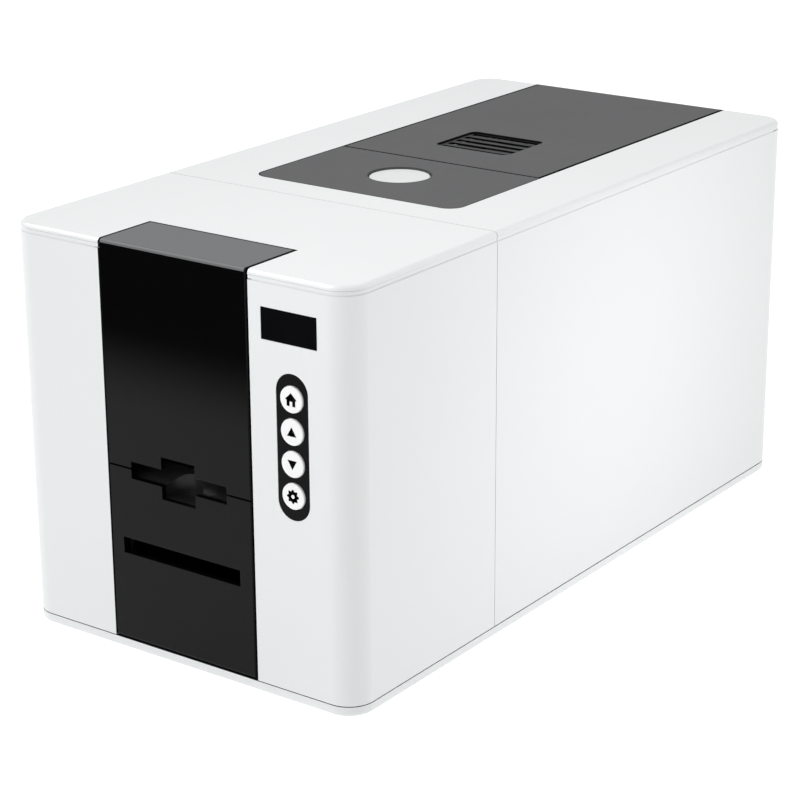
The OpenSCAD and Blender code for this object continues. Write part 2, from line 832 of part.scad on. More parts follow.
module fan_frame() {
    strut_w = 2.4;
    screw_off = fan_w / 2 - 3.6;
    color(black) translate([fan_x, fan_y, cover_z0 - fan_t]) difference() {
        union() {
            difference() {
                union() {
                    linear_extrude(fan_t)
                        polygon(rounded(-fan_w / 2, -fan_w / 2, fan_w / 2, fan_w / 2, 3, 6));
                    translate([-fan_x, -fan_y, 0]) fan_duct(fan_t - fan_rim_t, fan_rim_t, fan_rim);
                }
                translate([0, 0, -1]) cylinder(h = fan_t + 2, r = fan_open_r, $fn = 72);
            }
            cylinder(h = fan_floor, r = fan_hub_r, $fn = 48);
            for (a = [45, 165, 285]) rotate([0, 0, a])
                translate([0, -strut_w / 2, 0]) cube([fan_open_r + 1, strut_w, fan_floor]);
        }
        for (x = [-screw_off, screw_off]) for (y = [-screw_off, screw_off])
            translate([x, y, -1]) cylinder(h = fan_t + 2, r = 1.6, $fn = 24);
        translate([0, 0, -1]) cylinder(h = 4, r = fan_pin_r + run_gap, $fn = 24);
    }
}

module fan_rotor() {
    blades = 7;
    blade_w = 7.2;
    blade_t = 1;
    blade_tilt = 38;
    rotor_h = fan_t - 3;
    root_r = fan_hub_r - 1.5;
    color(dark) translate([fan_x, fan_y, cover_z0 - fan_t + fan_floor + 0.3]) union() {
        cylinder(h = rotor_h, r = fan_hub_r, $fn = 48);
        translate([0, 0, -fan_floor - 0.3]) cylinder(h = fan_floor + 0.5, r = fan_pin_r, $fn = 24);
        for (i = [0:blades - 1]) rotate([0, 0, i * 360 / blades])
            translate([root_r, 0, rotor_h / 2]) rotate([blade_tilt, 0, 0])
                translate([0, -blade_w / 2, -blade_t / 2]) cube([fan_open_r - 1 - root_r, blade_w, blade_t]);
    }
}

// Bracket that hangs the printhead from the lid, with a slot for each of the carrier's pins
head_pins = [-head_pin_y, head_pin_y];
head_slot = 0.1;
spring_x = [-20, 20];
spring_r = 4;

module head_bracket() {
    slot_z0 = head_pin_z - head_pin_r - head_slot;
    slot_z1 = head_pin_z + head_pin_r + head_slot + head_travel;
    color(steel) difference() {
        union() {
            both_sides() {
                block([arm_x, platen_y - 12, head_z + 11], [arm_x + plate_t, platen_y + 12, cover_z0]);
                block([arm_x, platen_y - 12, cover_z0 - plate_t], [arm_x + 9, platen_y + 12, cover_z0]);
            }
            block([-arm_x - eps, platen_y - 9, cross_z], [arm_x + eps, platen_y + 9, cross_z + plate_t]);
        }
        both_sides() for (y = head_pins) block(
            [arm_x - 1, platen_y + y - head_pin_r - head_slot, slot_z0],
            [arm_x + 3, platen_y + y + head_pin_r + head_slot, slot_z1]
        );
    }
}

module head_springs() {
    color(steel) for (x = spring_x) translate([x, platen_y, sink_z1]) difference() {
        cylinder(h = cross_z - sink_z1, r = spring_r, $fn = 36);
        translate([0, 0, -1]) cylinder(h = 40, r = spring_r - 0.9, $fn = 36);
    }
}

// Finned heat sink that carries the printhead, guided by four pins
module head_carrier() {
    fins = 7;
    fin_pitch = 3.6;
    fin_t = 1.6;
    slab_z0 = head_z + 5;
    slab_z1 = head_z + 14;
    slab_y0 = platen_y - 12;
    root_z = slab_z1 - 1;
    color([0.75, 0.76, 0.78]) union() {
        block([-head_half, slab_y0, slab_z0], [head_half, platen_y + 12, slab_z1]);
        for (i = [0:fins - 1]) block(
            [-head_half, slab_y0 + i * fin_pitch, root_z],
            [head_half, slab_y0 + i * fin_pitch + fin_t, sink_z1 - 2]
        );
        for (x = spring_x) translate([x, platen_y, root_z])
            cylinder(h = sink_z1 - root_z, r = spring_r + 0.5, $fn = 36);
        both_sides() {
            block([head_half - 3, platen_y - 9, root_z], [head_half, platen_y + 9, head_pin_z + 3]);
            for (y = head_pins) bar_x(head_half - 1, arm_x + 3, platen_y + y, head_pin_z, head_pin_r);
        }
    }
}

module printhead() {
    color([0.25, 0.3, 0.27]) along_x(-ribbon_w / 2 + 1, ribbon_w / 2 - 1) polygon([
        [platen_y - 11, head_z + 5], [platen_y - 11, head_z + 3], [platen_y - 4, head_z + 1],
        [platen_y - 2, head_z], [platen_y + 2, head_z], [platen_y + 4, head_z + 1],
        [platen_y + 11, head_z + 3], [platen_y + 11, head_z + 5]
    ]);
}

// Cuts for the card mouth and the thumb notch in the doors
module front_cut(w, z0, z1) {
    block([path_off - w / 2, front_y - 1, z0], [path_off + w / 2, front_y + 12, z1]);
}

module mouth_cuts(z_from, z_to) {
    intersection() {
        union() {
            front_cut(mouth_w, mouth_z0, mouth_z1);
            front_cut(thumb_w, thumb_z0, thumb_z1);
        }
        block([-half_w, front_y - 2, z_from], [half_w, front_y + 20, z_to]);
    }
}

// Upper door: front panel and cap in one piece, hinged under the cap's back edge
module hopper_door() {
    z0 = door_seam_z + door_gap / 2;
    color(black) difference() {
        union() {
            along_x(-strip_half, strip_half) polygon(concat(
                [[door_back, z0], [front_y, z0]],
                arc(front_y + cap_r, top_z - cap_r, cap_r, 180, 90, 8),
                [[cap_y1, top_z], [cap_y1, top_z - cap_t], [front_y + 6, top_z - cap_t],
                 [door_back, top_z - 5.6]]
            ));
            both_sides() {
                bar_x(strip_half - 3.6, strip_half, cap_pivot_y, cap_pivot_z, 2.2);
                bar_x(strip_half - 1, jamb_x + trunnion_l, cap_pivot_y, cap_pivot_z, trunnion_r);
                block(
                    [strip_half - 3.6, front_y + 1, thumb_z1 + 6],
                    [strip_half - 2, door_back + 3, top_z - 5]
                );
            }
        }
        mouth_cuts(z0 - 1, door_seam_z + 30);
    }
}

// Lower door with the window slot, hinged at its bottom edge
module output_door() {
    z1 = door_seam_z - door_gap / 2;
    color(black) difference() {
        union() {
            block([-strip_half, front_y, lower_pivot_z], [strip_half, door_back, z1]);
            bar_x(-strip_half, strip_half, lower_pivot_y, lower_pivot_z, door_t / 2);
            bar_x(
                -jamb_x - trunnion_l + 0.3, jamb_x + trunnion_l - 0.3,
                lower_pivot_y, lower_pivot_z, lower_pin_r
            );
            both_sides() block(
                [strip_half - 3.6, front_y + 1, lower_pivot_z + 8],
                [strip_half - 2, door_back + 2, slot_z0 + 18]
            );
        }
        mouth_cuts(door_seam_z - 30, z1 + 1);
        front_cut(slot_w, slot_z0, slot_z0 + slot_h);
    }
}

// Fixed ramp behind the card mouth, with the hollow for a thumb
module card_scoop() {
    ramp_z0 = mouth_z0 - 1;
    color(black) difference() {
        along_x(-jamb_x, jamb_x) polygon([
            [scoop_y0, scoop_z0], [scoop_y0, ramp_z0], [scoop_y0 + 2, ramp_z0 + 0.6],
            [scoop_y1 - 3, floor_z - 1.4], [scoop_y1, floor_z], [scoop_y1, scoop_z0]
        ]);
        translate([path_off, scoop_y0 - 1.7, thumb_z0]) cylinder(h = 40, r = scoop_r, $fn = 72);
    }
}

// Input hopper: a box open to the front and top, with a floor for the lowest card
module input_hopper() {
    x0 = path_off - hopper_half;
    x1 = path_off + hopper_half;
    y1 = hopper_y1 + hopper_wall;
    z1 = floor_z + hopper_h;
    rail_z0 = weight_rest + weight_t / 2 - weight_pin_r - 0.05;
    color(black) difference() {
        union() {
            block([-jamb_x, scoop_y1, floor_z - floor_t], [jamb_x, jamb_y1, floor_z]);
            block([x0 - hopper_wall, jamb_y1 - eps, floor_z - floor_t], [x1 + hopper_wall, y1, floor_z]);
            block([x0 - hopper_wall, scoop_y1, floor_z - eps], [x0, y1, z1]);
            block([x1, scoop_y1, floor_z - eps], [x1 + hopper_wall, y1, z1]);
            block([x0 - eps, hopper_y1, floor_z + 1.2], [x1 + eps, y1, z1]);
            for (x = [path_off - 22.5, path_off + 20.5]) block(
                [x, hopper_y1, floor_z - 4.2], [x + 2, diverter_y + 2.2, floor_z - 0.3]
            );
            for (x = [plate_xl + plate_t, x1 + hopper_wall - eps]) block(
                [x, hopper_y1 - 14, floor_z - floor_t],
                [x > 0 ? plate_xr : x0 - hopper_wall + eps, hopper_y1, floor_z]
            );
        }
        bar_x(path_off - 30, path_off + 30, diverter_y, diverter_z, diverter_pin_r + run_gap);
        block(
            [path_off - pick_half - 3, pick_y - pick_r - 1.5, floor_z - 5],
            [path_off + pick_half + 3, pick_y + pick_r + 1.5, floor_z + 1]
        );
        translate([path_off, scoop_y0 - 1.7, floor_z - 5]) cylinder(h = 20, r = scoop_r, $fn = 72);
        for (y = [hopper_y0 + 25, hopper_y1 - 25])
            block([x0 - 5, y - 2.2, rail_z0], [x1 + 5, y + 2.2, z1 - 4]);
    }
}

// Weight plate that presses the stack down, with pins in the hopper's slots
weight_t = 4;
weight_rest = floor_z + 6;
weight_pin_r = 1.9;

module card_weight() {
    color(dark) union() {
        block(
            [path_off - hopper_half + 0.5, hopper_y0 + 8, weight_rest],
            [path_off + hopper_half - 0.5, hopper_y1 - 0.5, weight_rest + weight_t]
        );
        for (y = [hopper_y0 + 25, hopper_y1 - 25])
            bar_x(
                path_off - hopper_half - 1.8, path_off + hopper_half + 1.8,
                y, weight_rest + weight_t / 2, weight_pin_r
            );
        along_x(path_off - 12, path_off + 12) polygon([
            [hopper_y0 + 12, weight_rest + weight_t - 1], [hopper_y0 + 9, weight_rest + weight_t + 9],
            [hopper_y0 + 11, weight_rest + weight_t + 9], [hopper_y0 + 17, weight_rest + weight_t - 1]
        ]);
    }
}

// Output hopper: a bin behind the lower door
module output_hopper() {
    x0 = path_off - bin_half;
    x1 = path_off + bin_half;
    y0 = scoop_y0 + 3;
    y1 = hopper_y1 + hopper_wall;
    color(black) union() {
        block([x0 - hopper_wall, y0, bin_z0], [x1 + hopper_wall, y1, bin_z0 + floor_t]);
        block([x0 - hopper_wall, y0, bin_z0], [x0, y1, bin_z1]);
        block([x1, y0, bin_z0], [x1 + hopper_wall, y1, bin_z1]);
        block([x0, hopper_y1, bin_z0], [x1, y1, pick_z - pick_r - 2]);
    }
}

// Display
module display_lens() {
    color(black) on_front(display_x, window_z, front_y, front_y + lens_t)
        square([display_w - 0.2, display_h - 0.2], center = true);
}

// Keypad plate with a round hole for each key
key_hole_r = key_d / 2 + move_gap;
key_stem = 2.4;

module keypad_plate() {
    color(dark) difference() {
        on_front(keypad_x, pad_z, front_y + 0.1, front_y + pad_recess)
            stadium(keypad_w - 0.2, keypad_h - 0.2);
        for (i = [0:3]) bar_y(front_y - 1, front_y + wall, keypad_x, key_z(i), key_hole_r);
    }
}

function key_z(i) = pad_z + (1.5 - i) * key_pitch;

// A round key with a flange that holds it behind the plate
module key_cap(i) {
    flange_y = front_y + pad_recess;
    color([0.97, 0.97, 0.97]) union() {
        bar_y(front_y - key_proud + 0.3, flange_y + 0.2, keypad_x, key_z(i), key_d / 2);
        translate([keypad_x, front_y - key_proud + 0.3, key_z(i)]) rotate([90, 0, 0])
            cylinder(h = 0.3, r1 = key_d / 2, r2 = key_d / 2 - 0.4, $fn = 48);
        bar_y(flange_y, flange_y + 1, keypad_x, key_z(i), key_d / 2 + 0.9);
        bar_y(flange_y + 0.9, flange_y + key_stem, keypad_x, key_z(i), 2);
    }
}

module key_home() { key_cap(0); }
module key_up() { key_cap(1); }
module key_down() { key_cap(2); }
module key_menu() { key_cap(3); }

// Board behind the right wing with the display and the key switches
module panel_board() {
    switch_y = front_y + pad_recess + key_stem + key_travel + 0.1;
    board_y = switch_y + 0.6;
    board_w = max(display_w, keypad_w) + 4;
    board_low = pad_z - keypad_h / 2 - 4;
    board_high = window_z + display_h / 2 + 4;
    color([0.1, 0.35, 0.2]) union() {
        on_front(display_x, (board_low + board_high) / 2, board_y, board_y + board_t)
            square([board_w, board_high - board_low], center = true);
        on_front(display_x, window_z, front_y + wall, board_y + eps)
            square([display_w + 2, display_h + 3], center = true);
        for (i = [0:3]) bar_y(switch_y, board_y + eps, keypad_x, key_z(i), 2.5);
        for (x = [-1, 1]) bar_y(
            front_y + wall, board_y + eps,
            keypad_x + x * keypad_w / 2, board_low + 2, 1.4
        );
    }
}

// Steel chassis
module chassis_base() {
    color(steel) difference() {
        block([-boss_x - 12, plate_y0, base_z0], [boss_x + 12, board_y1 + 2, base_z1]);
        boss_places() cylinder(h = 40, r = screw_r + 0.1, $fn = 24);
    }
}

// Upright plate with bush holes, spool slots and the latch ear
spool_slot_r = journal_r + 0.25;
plate_bores = concat(
    [for (r = rollers) [r[0], r[1], r[2] + bush_wall]],
    [for (s = [-1, 1]) [platen_y + s * bar_y, bar_z, bar_r]],
    [[striker_y, striker_z, striker_r]]
);
motor_bore = [[motor_y, motor_z, motor_boss_r]];
wheel_bore = [[ribbon_motor_y, spool_z, wheel_shaft_r + run_gap]];

module plate_profile() {
    difference() {
        union() {
            translate([plate_y0, base_z1]) square([plate_y1 - plate_y0, plate_z1 - base_z1]);
            translate([ear_y0, plate_z1 - 5]) square([ear_y1 - ear_y0, ear_z1 - plate_z1 + 5]);
        }
        for (y = [takeup_y, supply_y]) translate([y, spool_z]) polygon(concat(
            arc(0, 0, spool_slot_r, 180, 360, 16),
            [[spool_slot_r, plate_z1 - spool_z + 40], [-spool_slot_r, plate_z1 - spool_z + 40]]
        ));
    }
}

module plate(x, bores) {
    difference() {
        along_x(x, x + plate_t) plate_profile();
        for (b = bores) bar_x(x - 1, x + plate_t + 1, b[0], b[1], b[2]);
    }
}

module side_plates() {
    color(steel) {
        plate(plate_xl, concat(plate_bores, motor_bore));
        plate(plate_xr, concat(plate_bores, wheel_bore));
    }
}

// Ribbon guide bars and the striker rod that the lid's hook catches
module tie_rods() {
    color(steel) {
        for (s = [-1, 1]) bar_x(plate_xl - 1, plate_xr + plate_t + 1, platen_y + s * bar_y, bar_z, bar_r);
        bar_x(plate_xl - 1, plate_xr + plate_t + 1, striker_y, striker_z, striker_r);
    }
}

module bushes() {
    color([0.8, 0.78, 0.7]) for (r = rollers) for (side = [0, 1]) {
        x0 = side == 0 ? plate_xl - bush_flange : plate_xr + plate_t;
        b0 = side == 0 ? plate_xl : plate_xr;
        difference() {
            union() {
                bar_x(x0, x0 + bush_flange, r[0], r[1], r[2] + bush_wall + 1);
                bar_x(b0, b0 + plate_t, r[0], r[1], r[2] + bush_wall);
            }
            bar_x(x0 - 5, x0 + 8, r[0], r[1], r[2] + run_gap);
        }
    }
}

// A shaft with rubber tyres; driven shafts carry a flanged pulley outside the left plate
module roller_shaft(y, z, r, x_left) {
    bar_x(x_left, plate_xr + plate_t + bush_flange + 1, y, z, r);
}

module pulley(y, z, r) {
    bar_x(pulley_x, pulley_x + 1, y, z, r + belt_t + 0.6);
    bar_x(pulley_x + 1 - eps, pulley_x + pulley_l - 1 + eps, y, z, r);
    bar_x(pulley_x + pulley_l - 1, pulley_x + pulley_l, y, z, r + belt_t + 0.6);
}

module tyre(y, z, r, half) {
    bar_x(path_off - half, path_off + half, y, z, r);
}

tyre_half = card_w / 2 + 2;

module pick_roller() {
    color(rubber) union() {
        roller_shaft(pick_y, pick_z, shaft_r, pulley_x - 1);
        tyre(pick_y, pick_z, pick_r, pick_half);
        pulley(pick_y, pick_z, pulley_r);
    }
}

module driven_roller(y, z, r, pulley_radius) {
    color(rubber) union() {
        roller_shaft(y, z, shaft_r, pulley_x - 1);
        tyre(y, z, r, tyre_half);
        pulley(y, z, pulley_radius);
    }
}

module feed_roller() { driven_roller(feed_y, feed_z, feed_r, pulley_r); }
module front_roller() { driven_roller(front_roll_y, feed_z, feed_r, pulley_r); }
module platen_roller() { driven_roller(platen_y, platen_z, platen_r, platen_pulley_r); }
module rear_roller() { driven_roller(rear_roll_y, feed_z, feed_r, pulley_r); }

module cleaning_roller() {
    color([0.35, 0.55, 0.75]) union() {
        roller_shaft(feed_y, clean_z, shaft_r, plate_xl - bush_flange - 1);
        tyre(feed_y, clean_z, feed_r, tyre_half);
    }
}

module pinch_roller(y) {
    color(rubber) union() {
        roller_shaft(y, pinch_z, pinch_shaft_r, plate_xl - bush_flange - 1);
        for (x = [-18, 18]) bar_x(path_off + x - 6, path_off + x + 6, y, pinch_z, pinch_r);
    }
}

module front_pinch_roller() { pinch_roller(front_roll_y); }
module rear_pinch_roller() { pinch_roller(rear_roll_y); }

// Rails with a groove for the card's edges, cut away where the rollers pass
rail_w = 6;
guide_foot = 5;

module card_guides() {
    rail_x = card_w / 2 + card_play;
    rail_mid = rail_x + 1;
    z0 = floor_z - 2.6;
    z1 = floor_z + 3;
    in_x0 = path_off - tyre_half - 0.5;
    in_x1 = path_off + tyre_half + 0.5;
    out_x0 = in_x0 - rail_w;
    out_x1 = in_x1 + rail_w;
    y0 = feed_y + feed_r + 4;
    y1 = rear_roll_y + 50;
    color(black) difference() {
        for (s = [-1, 1]) {
            block(
                [path_off + s * rail_mid - rail_w / 2, y0, z0],
                [path_off + s * rail_mid + rail_w / 2, y1, z1]
            );
            for (y = [y0 + 4, y1 - 2 * guide_foot]) block(
                [s > 0 ? path_off + rail_x + 3 : plate_xl + plate_t, y, z0],
                [s > 0 ? plate_xr : path_off - rail_x - 3, y + guide_foot, floor_z]
            );
        }
        block(
            [path_off - rail_x, y0 - 1, floor_z - 0.1],
            [path_off + rail_x, y1 + 1, floor_z + card_t + 0.3]
        );
        for (y = [front_roll_y, rear_roll_y]) {
            block([in_x0, y - feed_r - 1, z0 - 1], [in_x1, y + feed_r + 1, floor_z]);
            block([out_x0, y - pinch_shaft_r - 1, floor_z + 1], [out_x1, y + pinch_shaft_r + 1, z1 + 1]);
        }
        block([in_x0, platen_y - platen_r - 2, z0 - 1], [in_x1, platen_y + platen_r + 2, floor_z]);
        block([out_x0, platen_y - bar_y - 4, floor_z + card_t], [out_x1, platen_y + bar_y + 4, z1 + 1]);
    }
}

// Flap that sends a finished card down into the output hopper
diverter_y = hopper_y1 + hopper_wall + 4;
diverter_z = floor_z - 2;
diverter_pin_r = 1.2;

module card_diverter() {
    color(dark) union() {
        along_x(path_off - 20, path_off + 20) polygon([
            [diverter_y - 1.6, floor_z - 3], [diverter_y - 1.6, floor_z - 0.4],
            [diverter_y + 5.4, floor_z - 0.4], [diverter_y + 2, floor_z - 3]
        ]);
        bar_x(path_off - 22, path_off + 22, diverter_y, diverter_z, diverter_pin_r);
    }
}

// Stepper motor on the left plate
shaft_depth = 12;

module drive_motor() {
    color([0.15, 0.15, 0.16]) difference() {
        union() {
            along_x(plate_xl + plate_t, plate_xl + plate_t + motor_l) polygon(rounded(
                motor_y - motor_w / 2, motor_z - motor_w / 2,
                motor_y + motor_w / 2, motor_z + motor_w / 2, 4, 4
            ));
            bar_x(plate_xl, plate_xl + plate_t + eps, motor_y, motor_z, motor_boss_r);
        }
        bar_x(plate_xl - 1, plate_xl + shaft_depth, motor_y, motor_z, motor_shaft_r + run_gap);
    }
}

// The motor's shaft with its pulley
module motor_pulley() {
    color(steel) union() {
        pulley(motor_y, motor_z, motor_pulley_r);
        bar_x(pulley_x - 1, plate_xl + shaft_depth - 1, motor_y, motor_z, motor_shaft_r);
    }
}

module belt_outline(grow) {
    hull() {
        translate([pick_y, pick_z]) circle(r = pulley_r + grow, $fn = 32);
        translate([feed_y, feed_z]) circle(r = pulley_r + grow, $fn = 32);
        translate([rear_roll_y, feed_z]) circle(r = pulley_r + grow, $fn = 32);
        translate([motor_y, motor_z]) circle(r = motor_pulley_r + grow, $fn = 32);
    }
}

module drive_belt() {
    belt_gap = 0.1;
    color(rubber) along_x(belt_x, belt_x + belt_w) difference() {
        belt_outline(belt_t + belt_gap);
        belt_outline(belt_gap);
    }
}

// Ribbon spools: a core with journals, two flanges and the wound ribbon
flange_mid = ribbon_w / 2 + 2;

module spool(y, roll_r, flange_r) {
    bar_x(plate_xl - 1, plate_xr + plate_t + 1, y, spool_z, journal_r);
    for (x = [path_off - flange_mid, path_off + flange_mid]) bar_x(x - 1, x + 1, y, spool_z, flange_r);
    bar_x(path_off - ribbon_w / 2, path_off + ribbon_w / 2, y, spool_z, roll_r);
}

module ribbon_supply() {
    color([0.55, 0.15, 0.2]) union() spool(supply_y, supply_r, supply_r + 2);
}

module ribbon_takeup() {
    rim_x = plate_xr + plate_t + 1;
    color([0.2, 0.2, 0.5]) union() {
        spool(takeup_y, takeup_r, supply_r - 2);
        bar_x(rim_x, rim_x + rim_w, takeup_y, spool_z, takeup_rim_r);
    }
}

// Film from the supply roll, under the guide bars and the head, to the take-up roll
function tangent_point(y, r, s) =
    let (
        from_y = platen_y + s * bar_y,
        dy = s * (y - from_y),
        dz = spool_z - bar_z,
        dist = norm([dy, dz]),
        lean = atan2(dz, dy) - asin((r - bar_r) / dist)
    ) [lean, y + s * (r + move_gap) * sin(lean), spool_z - (r + move_gap) * cos(lean)];

module film_half(s, y, r) {
    t = tangent_point(y, r, s);
    wrap = bar_r + 0.1;
    under_head = head_z - 0.1;
    flat = 2.5;
    rise = atan2(bar_z - wrap - under_head, bar_y - flat);
    bar_centre = [platen_y + s * bar_y, bar_z];
    down = [0, -1];
    first = [s * sin(rise), -cos(rise)];
    last = [s * sin(t[0]), -cos(t[0])];
    line = [
        [platen_y, under_head], [platen_y + s * flat, under_head],
        bar_centre + wrap * first, bar_centre + wrap * last, [t[1], t[2]]
    ];
    normals = [down, down, first, last, last];
    along_x(path_off - ribbon_w / 2 + 1, path_off + ribbon_w / 2 - 1) polygon(concat(
        line,
        [for (i = [4:-1:0]) line[i] + ribbon_t * normals[i]]
    ));
}

module ribbon_film() {
    color([0.1, 0.1, 0.12]) union() {
        film_half(1, supply_y, supply_r);
        film_half(-1, takeup_y, takeup_r);
    }
}

// Small motor of the ribbon take-up, held in the right plate by its boss
module ribbon_motor() {
    body_x = plate_xr + plate_t + rim_w + 4;
    arm_t = 3;
    color([0.15, 0.15, 0.16]) difference() {
        union() {
            bar_x(body_x, body_x + 22, ribbon_motor_y, spool_z, 10);
            block(
                [plate_xr + plate_t, ribbon_motor_y - 9, spool_z - 4],
                [body_x + 4, ribbon_motor_y - 9 + arm_t, spool_z + 4]
            );
        }
        bar_x(body_x - 1, body_x + shaft_depth, ribbon_motor_y, spool_z, wheel_shaft_r + run_gap);
    }
}

// Rubber wheel on the ribbon motor's shaft, against the take-up spool's rim
module ribbon_wheel() {
    wheel_x = plate_xr + plate_t + 1;
    color(rubber) union() {
        bar_x(wheel_x, wheel_x + rim_w, ribbon_motor_y, spool_z, ribbon_wheel_r - move_gap);
        bar_x(plate_xr, wheel_x + rim_w + 3 + shaft_depth - 1, ribbon_motor_y, spool_z, wheel_shaft_r);
    }
}

// Circuit board with its standoffs, chips and heat sink
module main_board() {
    color([0.08, 0.35, 0.18]) union() {
        block([-84, board_y0, deck_z], [84, board_y1, deck_top]);
        for (x = [-78, 78]) for (y = [board_y0 + 6, board_y1 - 6])
            translate([x, y, base_z1]) cylinder(h = deck_z - base_z1 + eps, r = 3, $fn = 24);
        block([-20, board_y0 + 15, deck_top - eps], [0, board_y0 + 35, deck_top + 2]);
        block([30, board_y0 + 20, deck_top - eps], [60, board_y0 + 50, deck_top + 14]);
        for (x = [-70, -58, -46]) translate([x, board_y0 + 18, deck_top - eps]) cylinder(h = 16, r = 5, $fn = 32);
    }
}

// Power, data and network sockets on the board's back edge
module port_sockets() {
    color(steel) difference() {
        union() {
            block([jack_x - 4.5, back_y - 16, deck_top], [jack_x + 4.5, back_y, deck_top + 11]);
            block([usb_x - 6, back_y - 18, deck_top], [usb_x + 6, back_y, deck_top + 11]);
            block([lan_x - 8, back_y - 21, deck_top], [lan_x + 8, back_y, deck_top + 13.5]);
        }
        difference() {
            bar_y(back_y - 10, back_y + 1, jack_x, deck_top + 6, 3.2);
            bar_y(back_y - 11, back_y - 1.5, jack_x, deck_top + 6, 1);
        }
        difference() {
            block([usb_x - 4.2, back_y - 12, deck_top + 1.6], [usb_x + 4.2, back_y + 1, deck_top + 9.4]);
            block([usb_x - 2.8, back_y - 13, deck_top + 3.9], [usb_x + 2.8, back_y - 1, deck_top + 7.1]);
        }
        block([lan_x - 5.9, back_y - 14, deck_top + 2], [lan_x + 5.9, back_y + 1, deck_top + 10]);
        block([lan_x - 3, back_y - 14, deck_top + 9], [lan_x + 3, back_y + 1, deck_top + 12]);
    }
}

// Rocker switch, resting on its lower half
rocker_pivot_y = back_y - 4;

module power_rocker() {
    color(black) union() {
        along_x(jack_x - rocker_w / 2 + 0.3, jack_x + rocker_w / 2 - 0.3) polygon([
            [rocker_pivot_y - 2, rocker_z - 5], [rocker_pivot_y - 2, rocker_z + 5],
            [back_y - 1.9, rocker_z + rocker_h / 2 - 0.4], [back_y - 0.9, rocker_z + 1],
            [back_y - 0.4, rocker_z - rocker_h / 2 + 0.6], [back_y - 3, rocker_z - rocker_h / 2 + 0.4]
        ]);
        bar_x(jack_x - rocker_w / 2 - 2.2, jack_x + rocker_w / 2 + 2.2, rocker_pivot_y, rocker_z, 1);
    }
}

base_tray();
rubber_feet();
case_screws();
front_housing();
front_top_cover();
left_side_panel();
right_side_panel();
rear_panel();
hinge_pins();
lid_frame();
lid_front_inset();
lid_vent_inset();
release_button();
button_spring();
latch_bracket();
latch_hook();
fan_frame();
fan_rotor();
head_bracket();
head_springs();
head_carrier();
printhead();
hopper_door();
output_door();
card_scoop();
input_hopper();
card_weight();
output_hopper();
display_lens();
keypad_plate();
key_home();
key_up();
key_down();
key_menu();
panel_board();
chassis_base();
side_plates();
tie_rods();
bushes();
pick_roller();
feed_roller();
cleaning_roller();
front_roller();
front_pinch_roller();
platen_roller();
rear_roller();
rear_pinch_roller();
card_guides();
card_diverter();
drive_motor();
motor_pulley();
drive_belt();
ribbon_supply();
ribbon_takeup();
ribbon_film();
ribbon_motor();
ribbon_wheel();
main_board();
port_sockets();
power_rocker();
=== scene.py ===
import math

import bmesh
import bpy
from mathutils import Matrix, Vector


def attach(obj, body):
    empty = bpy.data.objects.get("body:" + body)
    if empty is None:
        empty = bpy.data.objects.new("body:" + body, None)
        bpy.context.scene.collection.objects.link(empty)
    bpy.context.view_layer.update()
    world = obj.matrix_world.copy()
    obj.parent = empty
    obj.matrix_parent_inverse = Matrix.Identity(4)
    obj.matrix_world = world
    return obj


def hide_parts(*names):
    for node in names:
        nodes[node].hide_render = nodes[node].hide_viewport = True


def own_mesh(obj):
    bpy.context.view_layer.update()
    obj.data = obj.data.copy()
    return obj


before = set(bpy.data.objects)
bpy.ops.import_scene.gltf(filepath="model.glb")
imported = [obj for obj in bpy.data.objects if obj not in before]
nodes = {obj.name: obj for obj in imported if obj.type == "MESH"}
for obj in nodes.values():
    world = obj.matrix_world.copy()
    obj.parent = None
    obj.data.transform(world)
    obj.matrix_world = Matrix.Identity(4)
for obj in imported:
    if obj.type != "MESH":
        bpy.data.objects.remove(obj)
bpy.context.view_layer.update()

MM = 0.001

# Places in the part, in millimetres
HALF_W, HALF_D, CORNER_R = 103.0, 205.0, 13.7
SEAM_Z, RIM_STEP_Z, TOP_Z = 7.5, 208.8, 211.3
PATH_X, PULLEY_X = -0.6, -54.4         # middle of the card path, right end of the rollers' pulleys
STRIP_HALF, JAMB_X = 44.2, 45.2        # edge of the doors, jamb beside them
CAP_Y1, NOTCH_Y = -168.7, -167.79      # rear edge of the cap and of its notch
INSET_X0, INSET_X1, INSET_Y0 = -62.1, 63.3, -68.1      # edges of the dark insets in the lid
KEY_X, KEY_ZS, KEY_FACE_Y = 69.4, (154.1, 138.5, 122.9, 107.3), -205.8
BUTTON_Y = -25.6
SPRING_Z0, SPRING_Z1 = 197.8, 207.7
HEAD_SPRING_Z0, HEAD_SPRING_Z1 = 127.9, 149.9

# The camera, solved from the photograph's straight edges, in metres
CAMERA_PLACE = (0.7093895, -1.0047337, 0.5125018)
CAMERA_RIGHT = Vector((0.8106937, 0.5854431, -0.0056644))
CAMERA_DOWN = Vector((0.1894741, -0.2715043, -0.9436021))
CAMERA_FORWARD = Vector((-0.5539633, 0.7638990, -0.3310331))
SENSOR_MM, FOCAL_PIXELS, IMAGE_PIXELS = 36.0, 2410.23, 800.0

# Floor, world and lights, in metres
FLOOR_HALF, FLOOR_GREY, FLOOR_GLOW = 9, 0.45, 0.73
WORLD_STRENGTH = 1.0
DARK_SIDE, DARK_FROM = (0.72, -0.69, 0.05), 0.38       # middle and edge (cosine) of the dark part
